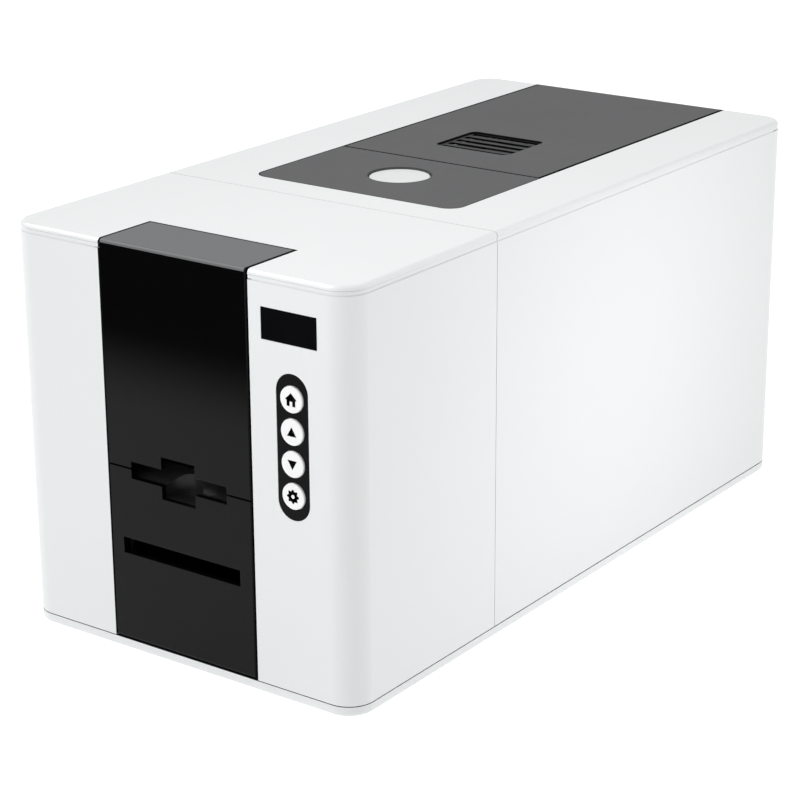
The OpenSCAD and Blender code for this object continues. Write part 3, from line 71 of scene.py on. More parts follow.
# name, place, aim, size, power, whether seen in gloss
LIGHTS = (
    ("top_light", (0.12, -0.10, 0.62), (0.05, -0.08, 0.2), (0.3, 0.3), 0.3, True),
    ("side_light", (0.33, 0.03, 0.13), (0.1, 0.03, 0.12), (0.14, 0.10), 0.15, False),
    ("front_light", (-0.75, -1.5, 0.25), (0, -0.2, 0.1), (0.6, 0.5), 2.3, False),
    ("wing_light", (0.09, -0.46, 0.36), (0.075, -0.205, 0.2), (0.08, 0.08), 0.17, False),
)
FLAG_PLACE, FLAG_SIZE, FLAG_FADE_Y = (-0.5, -1.6, 0.0015), (4.0, 2.6), (-0.60, -0.47)
GLOW_PLACE, GLOW_SIZE, GLOW_NORMAL = (-0.66, -0.57, 1.1), (0.7, 0.7), (0.55, 0.31, -0.757)
GLOW_STRENGTH = 18.0


# ---------------------------------------------------------------- camera, floor and light

def add_object(name, data):
    obj = bpy.data.objects.new(name, data)
    bpy.context.collection.objects.link(obj)
    return obj


def make_camera():
    cam = bpy.data.cameras.new("camera")
    cam.sensor_width = SENSOR_MM
    cam.lens = SENSOR_MM * FOCAL_PIXELS / IMAGE_PIXELS
    cam.clip_end = 50.0
    obj = add_object("camera", cam)
    turn = Matrix((CAMERA_RIGHT, -CAMERA_DOWN, -CAMERA_FORWARD)).transposed().to_4x4()
    obj.matrix_world = Matrix.Translation(CAMERA_PLACE) @ turn
    bpy.context.scene.camera = obj


def bare_material(name):
    """A material whose tree holds only the output node."""
    mat = bpy.data.materials.new(name)
    mat.use_nodes = True
    tree = mat.node_tree
    tree.nodes.clear()
    return mat, tree, tree.nodes.new("ShaderNodeOutputMaterial")


def glowing(name, strength):
    mat, tree, out = bare_material(name)
    glow = tree.nodes.new("ShaderNodeEmission")
    glow.inputs["Color"].default_value = (1, 1, 1, 1)
    glow.inputs["Strength"].default_value = strength
    tree.links.new(glow.outputs[0], out.inputs["Surface"])
    return mat


def fading_black(name, y_far, y_near):
    """Black card that fades out between two places along Y, for a soft edge in reflections."""
    mat, tree, out = bare_material(name)
    mix = tree.nodes.new("ShaderNodeMixShader")
    clear = tree.nodes.new("ShaderNodeBsdfTransparent")
    hole = tree.nodes.new("ShaderNodeEmission")
    hole.inputs["Strength"].default_value = 0.0
    place = tree.nodes.new("ShaderNodeNewGeometry")
    split = tree.nodes.new("ShaderNodeSeparateXYZ")
    ramp = tree.nodes.new("ShaderNodeMapRange")
    ramp.interpolation_type = "SMOOTHSTEP"
    ramp.inputs["From Min"].default_value = y_near
    ramp.inputs["From Max"].default_value = y_far
    tree.links.new(place.outputs["Position"], split.inputs[0])
    tree.links.new(split.outputs[1], ramp.inputs["Value"])
    tree.links.new(ramp.outputs[0], mix.inputs[0])
    tree.links.new(clear.outputs[0], mix.inputs[1])
    tree.links.new(hole.outputs[0], mix.inputs[2])
    tree.links.new(mix.outputs[0], out.inputs["Surface"])
    return mat


def flat_piece(name, half_w, half_h, mat):
    """A rectangle of the stage, flat in X and Y about the origin."""
    me = bpy.data.meshes.new(name)
    corners = ((-1, -1), (1, -1), (1, 1), (-1, 1))
    me.from_pydata([(half_w * x, half_h * y, 0) for x, y in corners], [], [(0, 1, 2, 3)])
    me.materials.append(mat)
    obj = add_object(name, me)
    return obj


def panel(name, centre, size, normal, mat):
    """A flat studio panel that only glossy rays see."""
    obj = flat_piece(name, size[0] / 2, size[1] / 2, mat)
    obj.location = centre
    obj.rotation_euler = Vector(normal).to_track_quat("Z", "Y").to_euler()
    obj.visible_camera = False
    obj.visible_diffuse = False
    obj.visible_shadow = False
    obj.visible_transmission = False


def area_light(name, centre, target, size, power, in_gloss):
    light = bpy.data.lights.new(name, "AREA")
    light.shape = "RECTANGLE"
    light.size, light.size_y = size
    light.energy = power
    obj = add_object(name, light)
    obj.location = centre
    obj.rotation_euler = (Vector(target) - Vector(centre)).to_track_quat("-Z", "Y").to_euler()
    obj.visible_camera = False
    obj.visible_glossy = in_gloss


def floor_paper():
    mat = bpy.data.materials.new("floor_paper")
    mat.use_nodes = True
    put = mat.node_tree.nodes["Principled BSDF"].inputs
    put["Base Color"].default_value = (FLOOR_GREY, FLOOR_GREY, FLOOR_GREY, 1)
    put["Roughness"].default_value = 0.95
    put["Specular IOR Level"].default_value = 0.0
    put["Emission Color"].default_value = (1, 1, 1, 1)
    put["Emission Strength"].default_value = FLOOR_GLOW
    return mat


def make_world():
    """White studio that fades to dark towards the seen corner; the camera itself sees it white."""
    world = bpy.data.worlds.new("world")
    bpy.context.scene.world = world
    world.use_nodes = True
    tree = world.node_tree
    back = tree.nodes["Background"]
    back.inputs["Color"].default_value = (1.0, 1.0, 1.0, 1)
    coords = tree.nodes.new("ShaderNodeTexCoord")
    dot = tree.nodes.new("ShaderNodeVectorMath")
    dot.operation = "DOT_PRODUCT"
    dot.inputs[1].default_value = DARK_SIDE
    ramp = tree.nodes.new("ShaderNodeMapRange")
    ramp.interpolation_type = "SMOOTHSTEP"
    ramp.inputs["From Min"].default_value = DARK_FROM
    ramp.inputs["From Max"].default_value = 1.0
    ramp.inputs["To Min"].default_value = WORLD_STRENGTH
    ramp.inputs["To Max"].default_value = 0.0
    path = tree.nodes.new("ShaderNodeLightPath")
    seen = tree.nodes.new("ShaderNodeMath")
    seen.operation = "MAXIMUM"
    tree.links.new(coords.outputs["Generated"], dot.inputs[0])
    tree.links.new(dot.outputs["Value"], ramp.inputs["Value"])
    tree.links.new(ramp.outputs[0], seen.inputs[0])
    tree.links.new(path.outputs["Is Camera Ray"], seen.inputs[1])
    tree.links.new(seen.outputs[0], back.inputs["Strength"])


def make_stage():
    flat_piece("floor", FLOOR_HALF, FLOOR_HALF, floor_paper())
    make_world()
    for row in LIGHTS:
        area_light(*row)
    panel("floor_flag", FLAG_PLACE, FLAG_SIZE, (0, 0, 1), fading_black("flag", *FLAG_FADE_Y))
    panel("edge_glow", GLOW_PLACE, GLOW_SIZE, GLOW_NORMAL, glowing("glow", GLOW_STRENGTH))


bpy.context.scene.view_settings.view_transform = "Standard"
bpy.context.scene.view_settings.look = "None"
make_camera()
make_stage()


# ---------------------------------------------------------------- materials

class Mat:
    """A procedural material on one Principled shader. Its masks take the part's own millimetres."""

    def __init__(self, name, color, rough, metallic=0.0, spec=0.5):
        self.mat = bpy.data.materials.new(name)
        self.mat.use_nodes = True
        self.tree = self.mat.node_tree
        self.bsdf = self.tree.nodes["Principled BSDF"]
        self.color, self.rough = color, rough
        put = self.bsdf.inputs
        put["Base Color"].default_value = (*color, 1)
        put["Roughness"].default_value = rough
        put["Metallic"].default_value = metallic
        put["Specular IOR Level"].default_value = spec
        put["IOR"].default_value = 1.5
        self.coords = self.tree.nodes.new("ShaderNodeTexCoord").outputs["Object"]
        self.base = self.rough_out = self.height = None

    def node(self, kind, **values):
        n = self.tree.nodes.new(kind)
        for k, v in values.items():
            n.inputs[k].default_value = v
        return n

    def link(self, a, b):
        self.tree.links.new(a, b)

    def drive(self, socket, value):
        """Feeds one of the shader's own sockets."""
        self.link(value, self.bsdf.inputs[socket])

    def math(self, op, a, b=None, clamp=False):
        n = self.tree.nodes.new("ShaderNodeMath")
        n.operation = op
        n.use_clamp = clamp
        for i, v in enumerate((a, b)):
            if v is None:
                continue
            if isinstance(v, (int, float)):
                n.inputs[i].default_value = v
            else:
                self.link(v, n.inputs[i])
        return n.outputs[0]

    def noise(self, scale, detail=3.0, rough=0.55, stretch=None):
        n = self.node("ShaderNodeTexNoise", Scale=scale, Detail=detail, Roughness=rough)
        if stretch is None:
            self.link(self.coords, n.inputs["Vector"])
        else:
            m = self.node("ShaderNodeMapping", Scale=stretch)
            self.link(self.coords, m.inputs["Vector"])
            self.link(m.outputs[0], n.inputs["Vector"])
        return n.outputs["Fac"]

    def remap(self, value, lo, hi):
        n = self.tree.nodes.new("ShaderNodeMapRange")
        self.link(value, n.inputs["Value"])
        n.inputs["To Min"].default_value = lo
        n.inputs["To Max"].default_value = hi
        return n.outputs[0]

    def mix_base(self, factor, first, second):
        """Base colour that goes with factor from a first colour or socket to a second colour."""
        mix = self.tree.nodes.new("ShaderNodeMix")
        mix.data_type = "RGBA"
        self.link(factor, mix.inputs[0])
        if isinstance(first, tuple):
            mix.inputs[6].default_value = (*first, 1)
        else:
            self.link(first, mix.inputs[6])
        mix.inputs[7].default_value = (*second, 1)
        self.base = mix.outputs[2]
        self.drive("Base Color", self.base)

    def vary_color(self, value, amount):
        """Base colour, a little darker and lighter with value."""
        darker = tuple(c * (1 - amount) for c in self.color)
        lighter = tuple(min(1.0, c * (1 + amount)) for c in self.color)
        self.mix_base(value, darker, lighter)

    def paint(self, mask, color):
        """Covers the base colour with another where mask is 1."""
        self.mix_base(mask, self.base, color)

    def vary_rough(self, value, amount):
        self.rough_out = self.remap(value, self.rough - amount, self.rough + amount)
        self.drive("Roughness", self.rough_out)

    def dull(self, mask):
        """Full roughness where mask is 1, over the roughness that varies."""
        self.drive("Roughness", self.math("ADD", self.rough_out, mask, clamp=True))

    def bump(self, value, strength, distance):
        """Bump of a height in metres, on top of the bumps before it."""
        b = self.node("ShaderNodeBump", Strength=strength, Distance=distance)
        self.link(value, b.inputs["Height"])
        if self.height is not None:
            self.link(self.height, b.inputs["Normal"])
        self.height = b.outputs[0]
        self.drive("Normal", self.height)

    def axis(self, i):
        """The coordinate i of the part, in metres."""
        sep = self.tree.nodes.new("ShaderNodeSeparateXYZ")
        self.link(self.coords, sep.inputs[0])
        return sep.outputs[i]

    def below(self, i, limit):
        return self.math("LESS_THAN", self.axis(i), limit * MM)

    def above(self, i, limit):
        return self.math("GREATER_THAN", self.axis(i), limit * MM)

    def between(self, i, lo, hi):
        """1 where the coordinate i lies between lo and hi."""
        a = self.axis(i)
        return self.math("MULTIPLY", self.math("GREATER_THAN", a, lo * MM),
                         self.math("LESS_THAN", a, hi * MM))

    def both(self, a, b):
        """1 where two masks are 1."""
        return self.math("MULTIPLY", a, b)


def moulded(name, color, rough, grain=2600.0, depth=0.12, vary=0.02, spec=0.5, sink=0.0):
    """Moulded plastic: spark-eroded grain, slight mottling, uneven gloss and faint sink marks."""
    m = Mat(name, color, rough, spec=spec)
    m.vary_color(m.noise(22.0, 2.0), vary)
    m.vary_rough(m.noise(160.0, 3.0), 0.05)
    m.bump(m.noise(grain, 2.0, 0.6), depth, 0.00006)
    if sink:
        m.bump(m.noise(9.0, 1.0), sink, 0.002)
    return m


WALL = 0.05                            # how far a mask reaches past the face of a wall, in mm
POCKET_GAP, POCKET_DEPTH = 0.8, 2.45   # gap round the insets and depth of their pocket's walls
HOLLOW_DEPTH = 0.25                    # deeper than this the grille's hollow is painted black as shade
BAR_DEPTHS = (1.45, 1.35)              # the tops of the grille's bars lie between these depths
VENT_GAP_SHADE = (0.7, 1.3)              # painted shade of the gaps: black borders left and right on the vent inset
SEAM_SHADE = (-0.22, 0.24)             # painted shade line round the bottom seam
STEP_SHADE = (-0.2, 0.06)              # painted shadow line under the step of the rim
STEP_FADE_Y, STEP_FADE, STEP_LEAST = -200.0, 11.0, 0.35  # it fades behind this, per metre, to this
BAY_FOOT = 0.5                         # the bay's painted shade starts this far above the bottom seam
# painted shade of the gaps: dark colour on lit walls inside the seams and pockets and on the bay's
# jambs
GAP_SHADE, BAY_GAP_SHADE = (0.02, 0.02, 0.02), (0.012, 0.012, 0.012)
# painted shade black, painted shade grey for the grille's bars, painted shadow grey under the rim's
# step
PAINTED_SHADE_BLACK, BAR_SHADE_GREY, STEP_SHADOW_GREY = (0.006, 0.006, 0.006), (0.07, 0.071, 0.073), (0.4, 0.41, 0.415)


def paint_seam_shade(m):
    """Painted shade: a dark line in the seam between the tray and the walls above it."""
    m.paint(m.between(2, SEAM_Z + SEAM_SHADE[0], SEAM_Z + SEAM_SHADE[1]), GAP_SHADE)


def paint_bay_shade(m):
    """Painted shade: dark colour on the jambs of the door bay, above the bottom seam."""
    jambs = m.math("LESS_THAN", m.math("ABSOLUTE", m.axis(0)), (JAMB_X + WALL) * MM)
    front = m.both(m.above(2, SEAM_Z + BAY_FOOT), m.below(1, NOTCH_Y + WALL))
    m.paint(m.both(jambs, front), BAY_GAP_SHADE)


def paint_pocket_shade(m):
    """Painted shade: dark colour on the walls of the cap's notch and of the insets' pocket in the
    white lid.
    """
    reach = POCKET_GAP + WALL
    notch = m.both(m.between(0, -(JAMB_X + WALL), JAMB_X + WALL), m.below(1, NOTCH_Y + WALL))
    pocket = m.both(m.between(0, INSET_X0 - reach, INSET_X1 + reach), m.above(1, INSET_Y0 - reach))
    walls = m.math("ADD", notch, m.both(pocket, m.above(2, TOP_Z - POCKET_DEPTH)), clamp=True)
    m.paint(m.both(walls, m.below(2, TOP_Z - WALL)), GAP_SHADE)


def shade_rim_step(m):
    """Fine shadow under the step of the rim, fading from the front along the sides."""
    step = m.between(2, RIM_STEP_Z + STEP_SHADE[0], RIM_STEP_Z + STEP_SHADE[1])
    fall = m.math("MULTIPLY", m.math("ADD", m.axis(1), -STEP_FADE_Y * MM), -STEP_FADE)
    fade = m.math("MAXIMUM", m.math("ADD", 1.0, fall), STEP_LEAST)
    m.paint(m.both(step, m.math("MINIMUM", fade, 1.0)), STEP_SHADOW_GREY)


def paint_gap_shade_sides(m, left, right):
    """Painted shade of the gaps: dull black borders along the left and right edges of an inset."""
    border = m.math("SUBTRACT", 1.0, m.between(0, INSET_X0 + left, INSET_X1 - right))
    m.paint(border, PAINTED_SHADE_BLACK)
    m.dull(border)


def shade_hollow(m):
    """Painted shade: black walls and darker grey bars in the hollow of the grille."""
    m.paint(m.below(2, TOP_Z - HOLLOW_DEPTH), PAINTED_SHADE_BLACK)
    m.paint(m.between(2, TOP_Z - BAR_DEPTHS[0], TOP_Z - BAR_DEPTHS[1]), BAR_SHADE_GREY)


WHITE_GRAIN = dict(grain=3200.0, depth=0.10, vary=0.006)
white = moulded("white_abs", (0.77, 0.785, 0.79), 0.38, sink=0.03, **WHITE_GRAIN)
# painted shade in the bottom seam and on the jambs of the door bay
paint_seam_shade(white)
paint_bay_shade(white)
white_top = moulded("white_abs_top", (0.78, 0.795, 0.80), 0.36, sink=0.03, **WHITE_GRAIN)
# painted shade on the pocket walls and painted shadow under the rim's step
paint_pocket_shade(white_top)
shade_rim_step(white_top)
white_button = moulded("white_abs_button", (0.73, 0.735, 0.735), 0.4, **WHITE_GRAIN)

DARK_GREY = dict(color=(0.119, 0.120, 0.123), rough=0.5, grain=2400.0, depth=0.3, vary=0.05,
                 spec=0.02)
dark = moulded("dark_grey_abs", **DARK_GREY)
dark_vent = moulded("dark_grey_abs_vent", **DARK_GREY)
# painted shade of the gaps beside the vent inset and in the grille's hollow
paint_gap_shade_sides(dark_vent, *VENT_GAP_SHADE)
shade_hollow(dark_vent)

black = moulded("black_abs", (0.0055, 0.0055, 0.006), 0.4, 2200.0, 0.3, 0.1, spec=0.07)
scoop_black = moulded("scoop_black_abs", (0.016, 0.016, 0.0165), 0.3, 2200.0, 0.2, 0.1, spec=0.3)
inner_black = moulded("inner_black_abs", (0.02, 0.02, 0.021), 0.45, 1800.0, 0.3, 0.1)
key_white = moulded("key_white", (0.88, 0.885, 0.885), 0.4, 2600.0, 0.06, 0.004)
rubber = moulded("foot_rubber", (0.018, 0.018, 0.018), 0.85, 1600.0, 0.5, 0.1)
motor_paint = moulded("motor_paint", (0.025, 0.025, 0.027), 0.4, 1200.0, 0.2, 0.1)
icon_ink = moulded("icon_ink", (0.05, 0.05, 0.055), 0.5, 3000.0, 0.1, 0.05)
belt_rubber = moulded("belt_rubber", (0.015, 0.015, 0.016), 0.7, 1500.0, 0.4, 0.1)

DOOR_BLACK, DOOR_ROUGH, DOOR_SPEC = (0.0022, 0.0022, 0.0024), 0.07, 0.14
DULL_EDGE = 0.9                        # dull strip of a door beside the right jamb, in mm
CAP_GREY, CAP_MATTE = (0.135, 0.137, 0.141), 0.5
CAP_DEPTH = 1.75                       # what stands above this depth belongs to the cap
CAP_LEFT, CAP_RIGHT, CAP_REAR = 0.5, 1.0, 0.4           # its black borders


def door_black(name):
    m = Mat(name, DOOR_BLACK, DOOR_ROUGH, spec=DOOR_SPEC)
    m.vary_color(m.noise(30.0, 2.0), 0.1)
    return m


def dull_edge(m):
    """1 on the last strip of a door beside the right jamb."""
    return m.above(0, STRIP_HALF - DULL_EDGE)


def wavy(m):
    """Slight waviness of a large gloss moulding."""
    m.bump(m.noise(14.0, 1.5), 0.05, 0.0015)


def glossy_black():
    """High-gloss black, as on large moulded doors, dull at the right edge."""
    m = door_black("gloss_black_abs")
    m.vary_rough(m.noise(60.0, 4.0), 0.03)
    m.dull(dull_edge(m))
    wavy(m)
    return m


def door_with_cap():
    """Gloss black door whose top is covered by a matte grey cap plate with a black border."""
    m = door_black("door_black_and_grey_cap")
    top = m.above(2, TOP_Z - CAP_DEPTH)
    side = m.between(0, -(STRIP_HALF - CAP_LEFT), STRIP_HALF - CAP_RIGHT)
    cap = m.both(m.both(top, side), m.below(1, CAP_Y1 - CAP_REAR))
    m.paint(cap, CAP_GREY)
    shiny = m.math("SUBTRACT", 1.0, m.math("MAXIMUM", top, dull_edge(m)))
    m.drive("Roughness", m.math("SUBTRACT", m.remap(shiny, 1.0, DOOR_ROUGH),
                                m.math("MULTIPLY", cap, CAP_MATTE)))
    m.bump(m.both(m.noise(2400.0, 2.0), cap), 0.3, 0.00006)
    wavy(m)
    return m


def window_black():
    m = Mat("window_black", (0.004, 0.004, 0.005), 0.05, spec=0.2)
    m.vary_color(m.noise(90.0, 2.0), 0.2)
    m.vary_rough(m.noise(200.0, 3.0), 0.02)
    return m


def sheet_metal(name, color, rough, stretch, metallic=1.0):
    """Brushed or ground sheet; stretch draws its marks out along one axis."""
    m = Mat(name, color, rough, metallic=metallic)
    brushed = m.noise(900.0, 3.0, 0.6, stretch=stretch)
    m.vary_color(m.noise(40.0, 4.0), 0.06)
    m.vary_rough(brushed, 0.08)
    m.bump(brushed, 0.15, 0.00004)
    return m


gloss = glossy_black()
door_cap = door_with_cap()
window = window_black()
zinc = sheet_metal("zinc_sheet", (0.62, 0.64, 0.66), 0.36, (1.0, 1.0, 0.06))
ground = sheet_metal("ground_steel", (0.74, 0.75, 0.76), 0.2, (0.05, 1.0, 1.0))
bronze = sheet_metal("sintered_bronze", (0.6, 0.42, 0.2), 0.45, (1.0, 1.0, 1.0))
heat_sink = sheet_metal("sink_aluminium", (0.8, 0.81, 0.82), 0.32, (0.04, 1.0, 1.0))
ceramic = sheet_metal("head_ceramic", (0.22, 0.25, 0.22), 0.3, (0.2, 1.0, 1.0), metallic=0.0)

SHAFT_ROUGH, TYRE_HALF, PICK_TYRE_HALF = 0.22, 29.0, 10.1


def roller_material(name, tyre_color, tyre_half, tyre_rough=0.75):
    """Steel shaft, rubber tyre in the middle and black pulley on the left."""
    m = Mat(name, (0.72, 0.73, 0.74), SHAFT_ROUGH, metallic=1.0)
    m.vary_color(m.noise(60.0, 2.0), 0.04)
    tyre = m.between(0, PATH_X - tyre_half, PATH_X + tyre_half)
    pulley = m.below(0, PULLEY_X)
    covered = m.math("MAXIMUM", tyre, pulley)
    m.paint(tyre, tyre_color)
    m.paint(pulley, (0.02, 0.02, 0.021))
    m.drive("Metallic", m.math("SUBTRACT", 1.0, covered))
    m.drive("Roughness", m.remap(covered, SHAFT_ROUGH, tyre_rough))
    m.bump(m.noise(1400.0, 2.0), 0.25, 0.00008)
    return m


feed_tyre = roller_material("roller_rubber", (0.03, 0.03, 0.031), TYRE_HALF)
pick_tyre = roller_material("pick_rubber", (0.045, 0.042, 0.04), PICK_TYRE_HALF)
clean_tyre = roller_material("cleaning_silicone", (0.05, 0.19, 0.45), TYRE_HALF, 0.35)


def board_material(name, parts):
    """Green board with a faint track pattern; parts are (tests on axes, colour, is metal)."""
    m = Mat(name, (0.012, 0.11, 0.045), 0.35)
    m.vary_color(m.noise(45.0, 2.0), 0.15)
    tracks = m.node("ShaderNodeTexBrick", Scale=170.0)
    tracks.inputs["Mortar Size"].default_value = 0.045
    tracks.offset = 0.37
    m.link(m.coords, tracks.inputs["Vector"])
    m.paint(m.math("MULTIPLY", tracks.outputs["Fac"], 0.5), (0.03, 0.2, 0.09))
    metal = None
    for tests, color, is_metal in parts:
        mask = None
        for axis, lo, hi in tests:
            test = m.between(axis, lo, hi)
            mask = test if mask is None else m.both(mask, test)
        m.paint(mask, color)
        if is_metal:
            metal = mask if metal is None else m.math("MAXIMUM", metal, mask)
    if metal is not None:
        m.drive("Metallic", metal)
    m.bump(tracks.outputs["Fac"], 0.2, 0.00005)
    return m


ON_BOARD = (2, 21.8, 60.0)             # heights of the parts that stand on the main board
main_green = board_material("main_board_green", [
    ([ON_BOARD, (0, -21.0, 1.0)], (0.012, 0.012, 0.013), False),
    ([ON_BOARD, (0, 29.0, 61.0)], (0.7, 0.7, 0.72), True),
    ([ON_BOARD, (0, -80.0, -40.0)], (0.03, 0.05, 0.12), False),
    ([(2, 0.0, 19.9)], (0.6, 0.5, 0.3), True),
])
panel_green = board_material("panel_board_green", [
    ([(1, -206.0, -199.3)], (0.02, 0.02, 0.02), False),
])

FLANGE_HALF = 30.05                    # the ribbon rolls' flanges stand outside this, in mm
FILM_Y = (-0.06, 0.08)                 # the film's panels run between these, in metres
FILM_PANELS = ((0.0, (0.02, 0.02, 0.022)), (0.3, (0.005, 0.09, 0.2)),
               (0.52, (0.25, 0.01, 0.06)), (0.74, (0.5, 0.33, 0.01)))


def ribbon_material():
    """Ribbon roll: fine turns of dark film between pale flanges."""
    m = Mat("ribbon_roll", (0.012, 0.012, 0.014), 0.25, spec=0.6)
    m.vary_color(m.noise(40.0, 2.0), 0.15)
    from_middle = m.math("ABSOLUTE", m.math("ADD", m.axis(0), -PATH_X * MM))
    m.paint(m.math("GREATER_THAN", from_middle, FLANGE_HALF * MM), (0.62, 0.62, 0.6))
    rings = m.node("ShaderNodeTexWave", Scale=260.0)
    rings.bands_direction = "X"
    m.link(m.coords, rings.inputs["Vector"])
    m.bump(rings.outputs["Fac"], 0.15, 0.00008)
    m.vary_rough(m.noise(120.0, 2.0), 0.06)
    return m


def film_material():
    """Dye film: black, cyan, magenta and yellow panels one after another along the path."""
    m = Mat("dye_film", (0.02, 0.02, 0.02), 0.18, spec=0.6)
    ramp = m.node("ShaderNodeValToRGB")
    ramp.color_ramp.interpolation = "CONSTANT"
    elements = ramp.color_ramp.elements
    for i, (place, color) in enumerate(FILM_PANELS):
        element = elements[i] if i < 2 else elements.new(place)
        element.position, element.color = place, (*color, 1)
    span = m.node("ShaderNodeMapRange")
    m.link(m.axis(1), span.inputs["Value"])
    span.inputs["From Min"].default_value, span.inputs["From Max"].default_value = FILM_Y
    m.link(span.outputs[0], ramp.inputs[0])
    m.drive("Base Color", ramp.outputs[0])
    m.vary_rough(m.noise(80.0, 2.0), 0.05)
    m.bump(m.noise(35.0, 2.0, stretch=(3.0, 0.4, 0.4)), 0.1, 0.0005)
    return m


ribbon_roll = ribbon_material()
film = film_material()


# ---------------------------------------------------------------- finishing the CAD nodes

SMOOTH_DEGREES = 28.0                  # edges sharper than this stay sharp
BEVEL_DEGREES = 30.0                   # edges sharper than this are rounded
FLAT_DEGREES = 0.6                     # faces that meet at less than this are joined
WELD_GAP = 0.000004                    # metres


def smooth_group():
    """Geometry nodes that shade smooth below a sharp angle."""
    group = bpy.data.node_groups.new("smooth_by_angle", "GeometryNodeTree")
    group.interface.new_socket("Geometry", in_out="INPUT", socket_type="NodeSocketGeometry")
    angle = group.interface.new_socket("Angle", in_out="INPUT", socket_type="NodeSocketFloat")
    angle.default_value = 0.5
    group.interface.new_socket("Geometry", in_out="OUTPUT", socket_type="NodeSocketGeometry")
    new, link = group.nodes.new, group.links.new
    given, result = new("NodeGroupInput"), new("NodeGroupOutput")
    faces = new("GeometryNodeSetShadeSmooth")
    faces.domain = "FACE"
    edges = new("GeometryNodeSetShadeSmooth")
    edges.domain = "EDGE"
    edges.inputs["Shade Smooth"].default_value = False
    edge_angle = new("GeometryNodeInputMeshEdgeAngle")
    over = new("FunctionNodeCompare")
    over.data_type = "FLOAT"
    over.operation = "GREATER_THAN"
    link(given.outputs[0], faces.inputs["Geometry"])
    link(faces.outputs[0], edges.inputs["Geometry"])
    link(edge_angle.outputs["Unsigned Angle"], over.inputs[0])
    link(given.outputs[1], over.inputs[1])
    link(over.outputs[0], edges.inputs["Selection"])
    link(edges.outputs[0], result.inputs[0])
    return group


SMOOTH = smooth_group()


def add_smooth(obj, degrees=SMOOTH_DEGREES):
    mod = obj.modifiers.new("smooth", "NODES")
    mod.node_group = SMOOTH
    for item in SMOOTH.interface.items_tree:
        if item.name == "Angle" and item.in_out == "INPUT":
            mod[item.identifier] = math.radians(degrees)


def dress(name, mat, bevel, segments=2):
    """Gives a CAD node its material, rounded edges (bevel in mm) and smooth shading."""
    obj = nodes[name]
    if not obj.material_slots:
        obj.data.materials.append(mat.mat)
    for slot in obj.material_slots:
        slot.link = "OBJECT"
        slot.material = mat.mat
    weld = obj.modifiers.new("weld", "WELD")
    weld.merge_threshold = WELD_GAP
    if bevel:
        flat = obj.modifiers.new("flat", "DECIMATE")
        flat.decimate_type = "DISSOLVE"
        flat.angle_limit = math.radians(FLAT_DEGREES)
        round_off = obj.modifiers.new("bevel", "BEVEL")
        round_off.width = bevel * MM
        round_off.segments = segments
        round_off.limit_method = "ANGLE"
        round_off.angle_limit = math.radians(BEVEL_DEGREES)
        round_off.use_clamp_overlap = True
    add_smooth(obj)
    even = obj.modifiers.new("even", "WEIGHTED_NORMAL")
    even.weight = 100
    even.keep_sharp = True


# Each material with its nodes and the width of their bevels in millimetres
DRESS = {
    white: {"base_tray": 0.5, "front_housing": 0.45, "left_side_panel": 0.45,
            "right_side_panel": 0.45},
    white_top: {"front_top_cover": 0.4, "lid_frame": 0.4},
    dark_vent: {"lid_vent_inset": 0.12},
    dark: {"lid_front_inset": 0.12, "rear_panel": 0.4, "fan_rotor": 0.2, "card_weight": 0.5,
           "card_diverter": 0.2},
    gloss: {"output_door": 0.3, "power_rocker": 0.4},
    door_cap: {"hopper_door": 0.12},
    scoop_black: {"card_scoop": 0.5},
    black: {"keypad_plate": 0.25, "latch_hook": 0.3, "fan_frame": 0.3},
    inner_black: {"input_hopper": 0.4, "output_hopper": 0.4, "card_guides": 0.3},
    window: {"display_lens": 0.15},
    key_white: {"key_home": 0.3, "key_up": 0.3, "key_down": 0.3, "key_menu": 0.3},
    rubber: {"rubber_feet": 0.4},
    zinc: {"latch_bracket": 0.15, "head_bracket": 0.2, "chassis_base": 0.2, "side_plates": 0.2,
           "port_sockets": 0.15},
    ground: {"case_screws": 0.1, "hinge_pins": 0.2, "tie_rods": 0.3, "motor_pulley": 0.1},
    bronze: {"bushes": 0.1},
    heat_sink: {"head_carrier": 0.2},
    ceramic: {"printhead": 0.2},
    motor_paint: {"drive_motor": 0.5, "ribbon_motor": 0.4},
    feed_tyre: {"feed_roller": 0.2, "front_roller": 0.2, "front_pinch_roller": 0.2,
                "platen_roller": 0.2, "rear_roller": 0.2, "rear_pinch_roller": 0.2},
    pick_tyre: {"pick_roller": 0.2},
    clean_tyre: {"cleaning_roller": 0.2},
    main_green: {"main_board": 0.2},
    panel_green: {"panel_board": 0.2},
    ribbon_roll: {"ribbon_supply": 0.3, "ribbon_takeup": 0.3},
    film: {"ribbon_film": 0.0},
    belt_rubber: {"drive_belt": 0.2, "ribbon_wheel": 0.3},
}
for material, rows in DRESS.items():
    for node_name, width in rows.items():
        dress(node_name, material, width)
dress("release_button", white_button, 0.5, segments=3)


# ---------------------------------------------------------------- springs

COIL_DEGREES = 60.0                    # smooth shading all round the wire
STEPS_PER_TURN, WIRE_SIDES = 28, 10


def new_piece(name, verts, faces, mat, body, smooth=SMOOTH_DEGREES):
    """A piece made here from points in millimetres."""
    me = bpy.data.meshes.new(name)
    me.from_pydata([tuple(c * MM for c in v) for v in verts], [], faces)
    me.materials.append(mat.mat)
    obj = add_object(name, me)
    bm = bmesh.new()
    bm.from_mesh(me)
    bmesh.ops.recalc_face_normals(bm, faces=bm.faces)
    bm.to_mesh(me)
    bm.free()
    add_smooth(obj, smooth)
    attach(obj, body)
    return obj


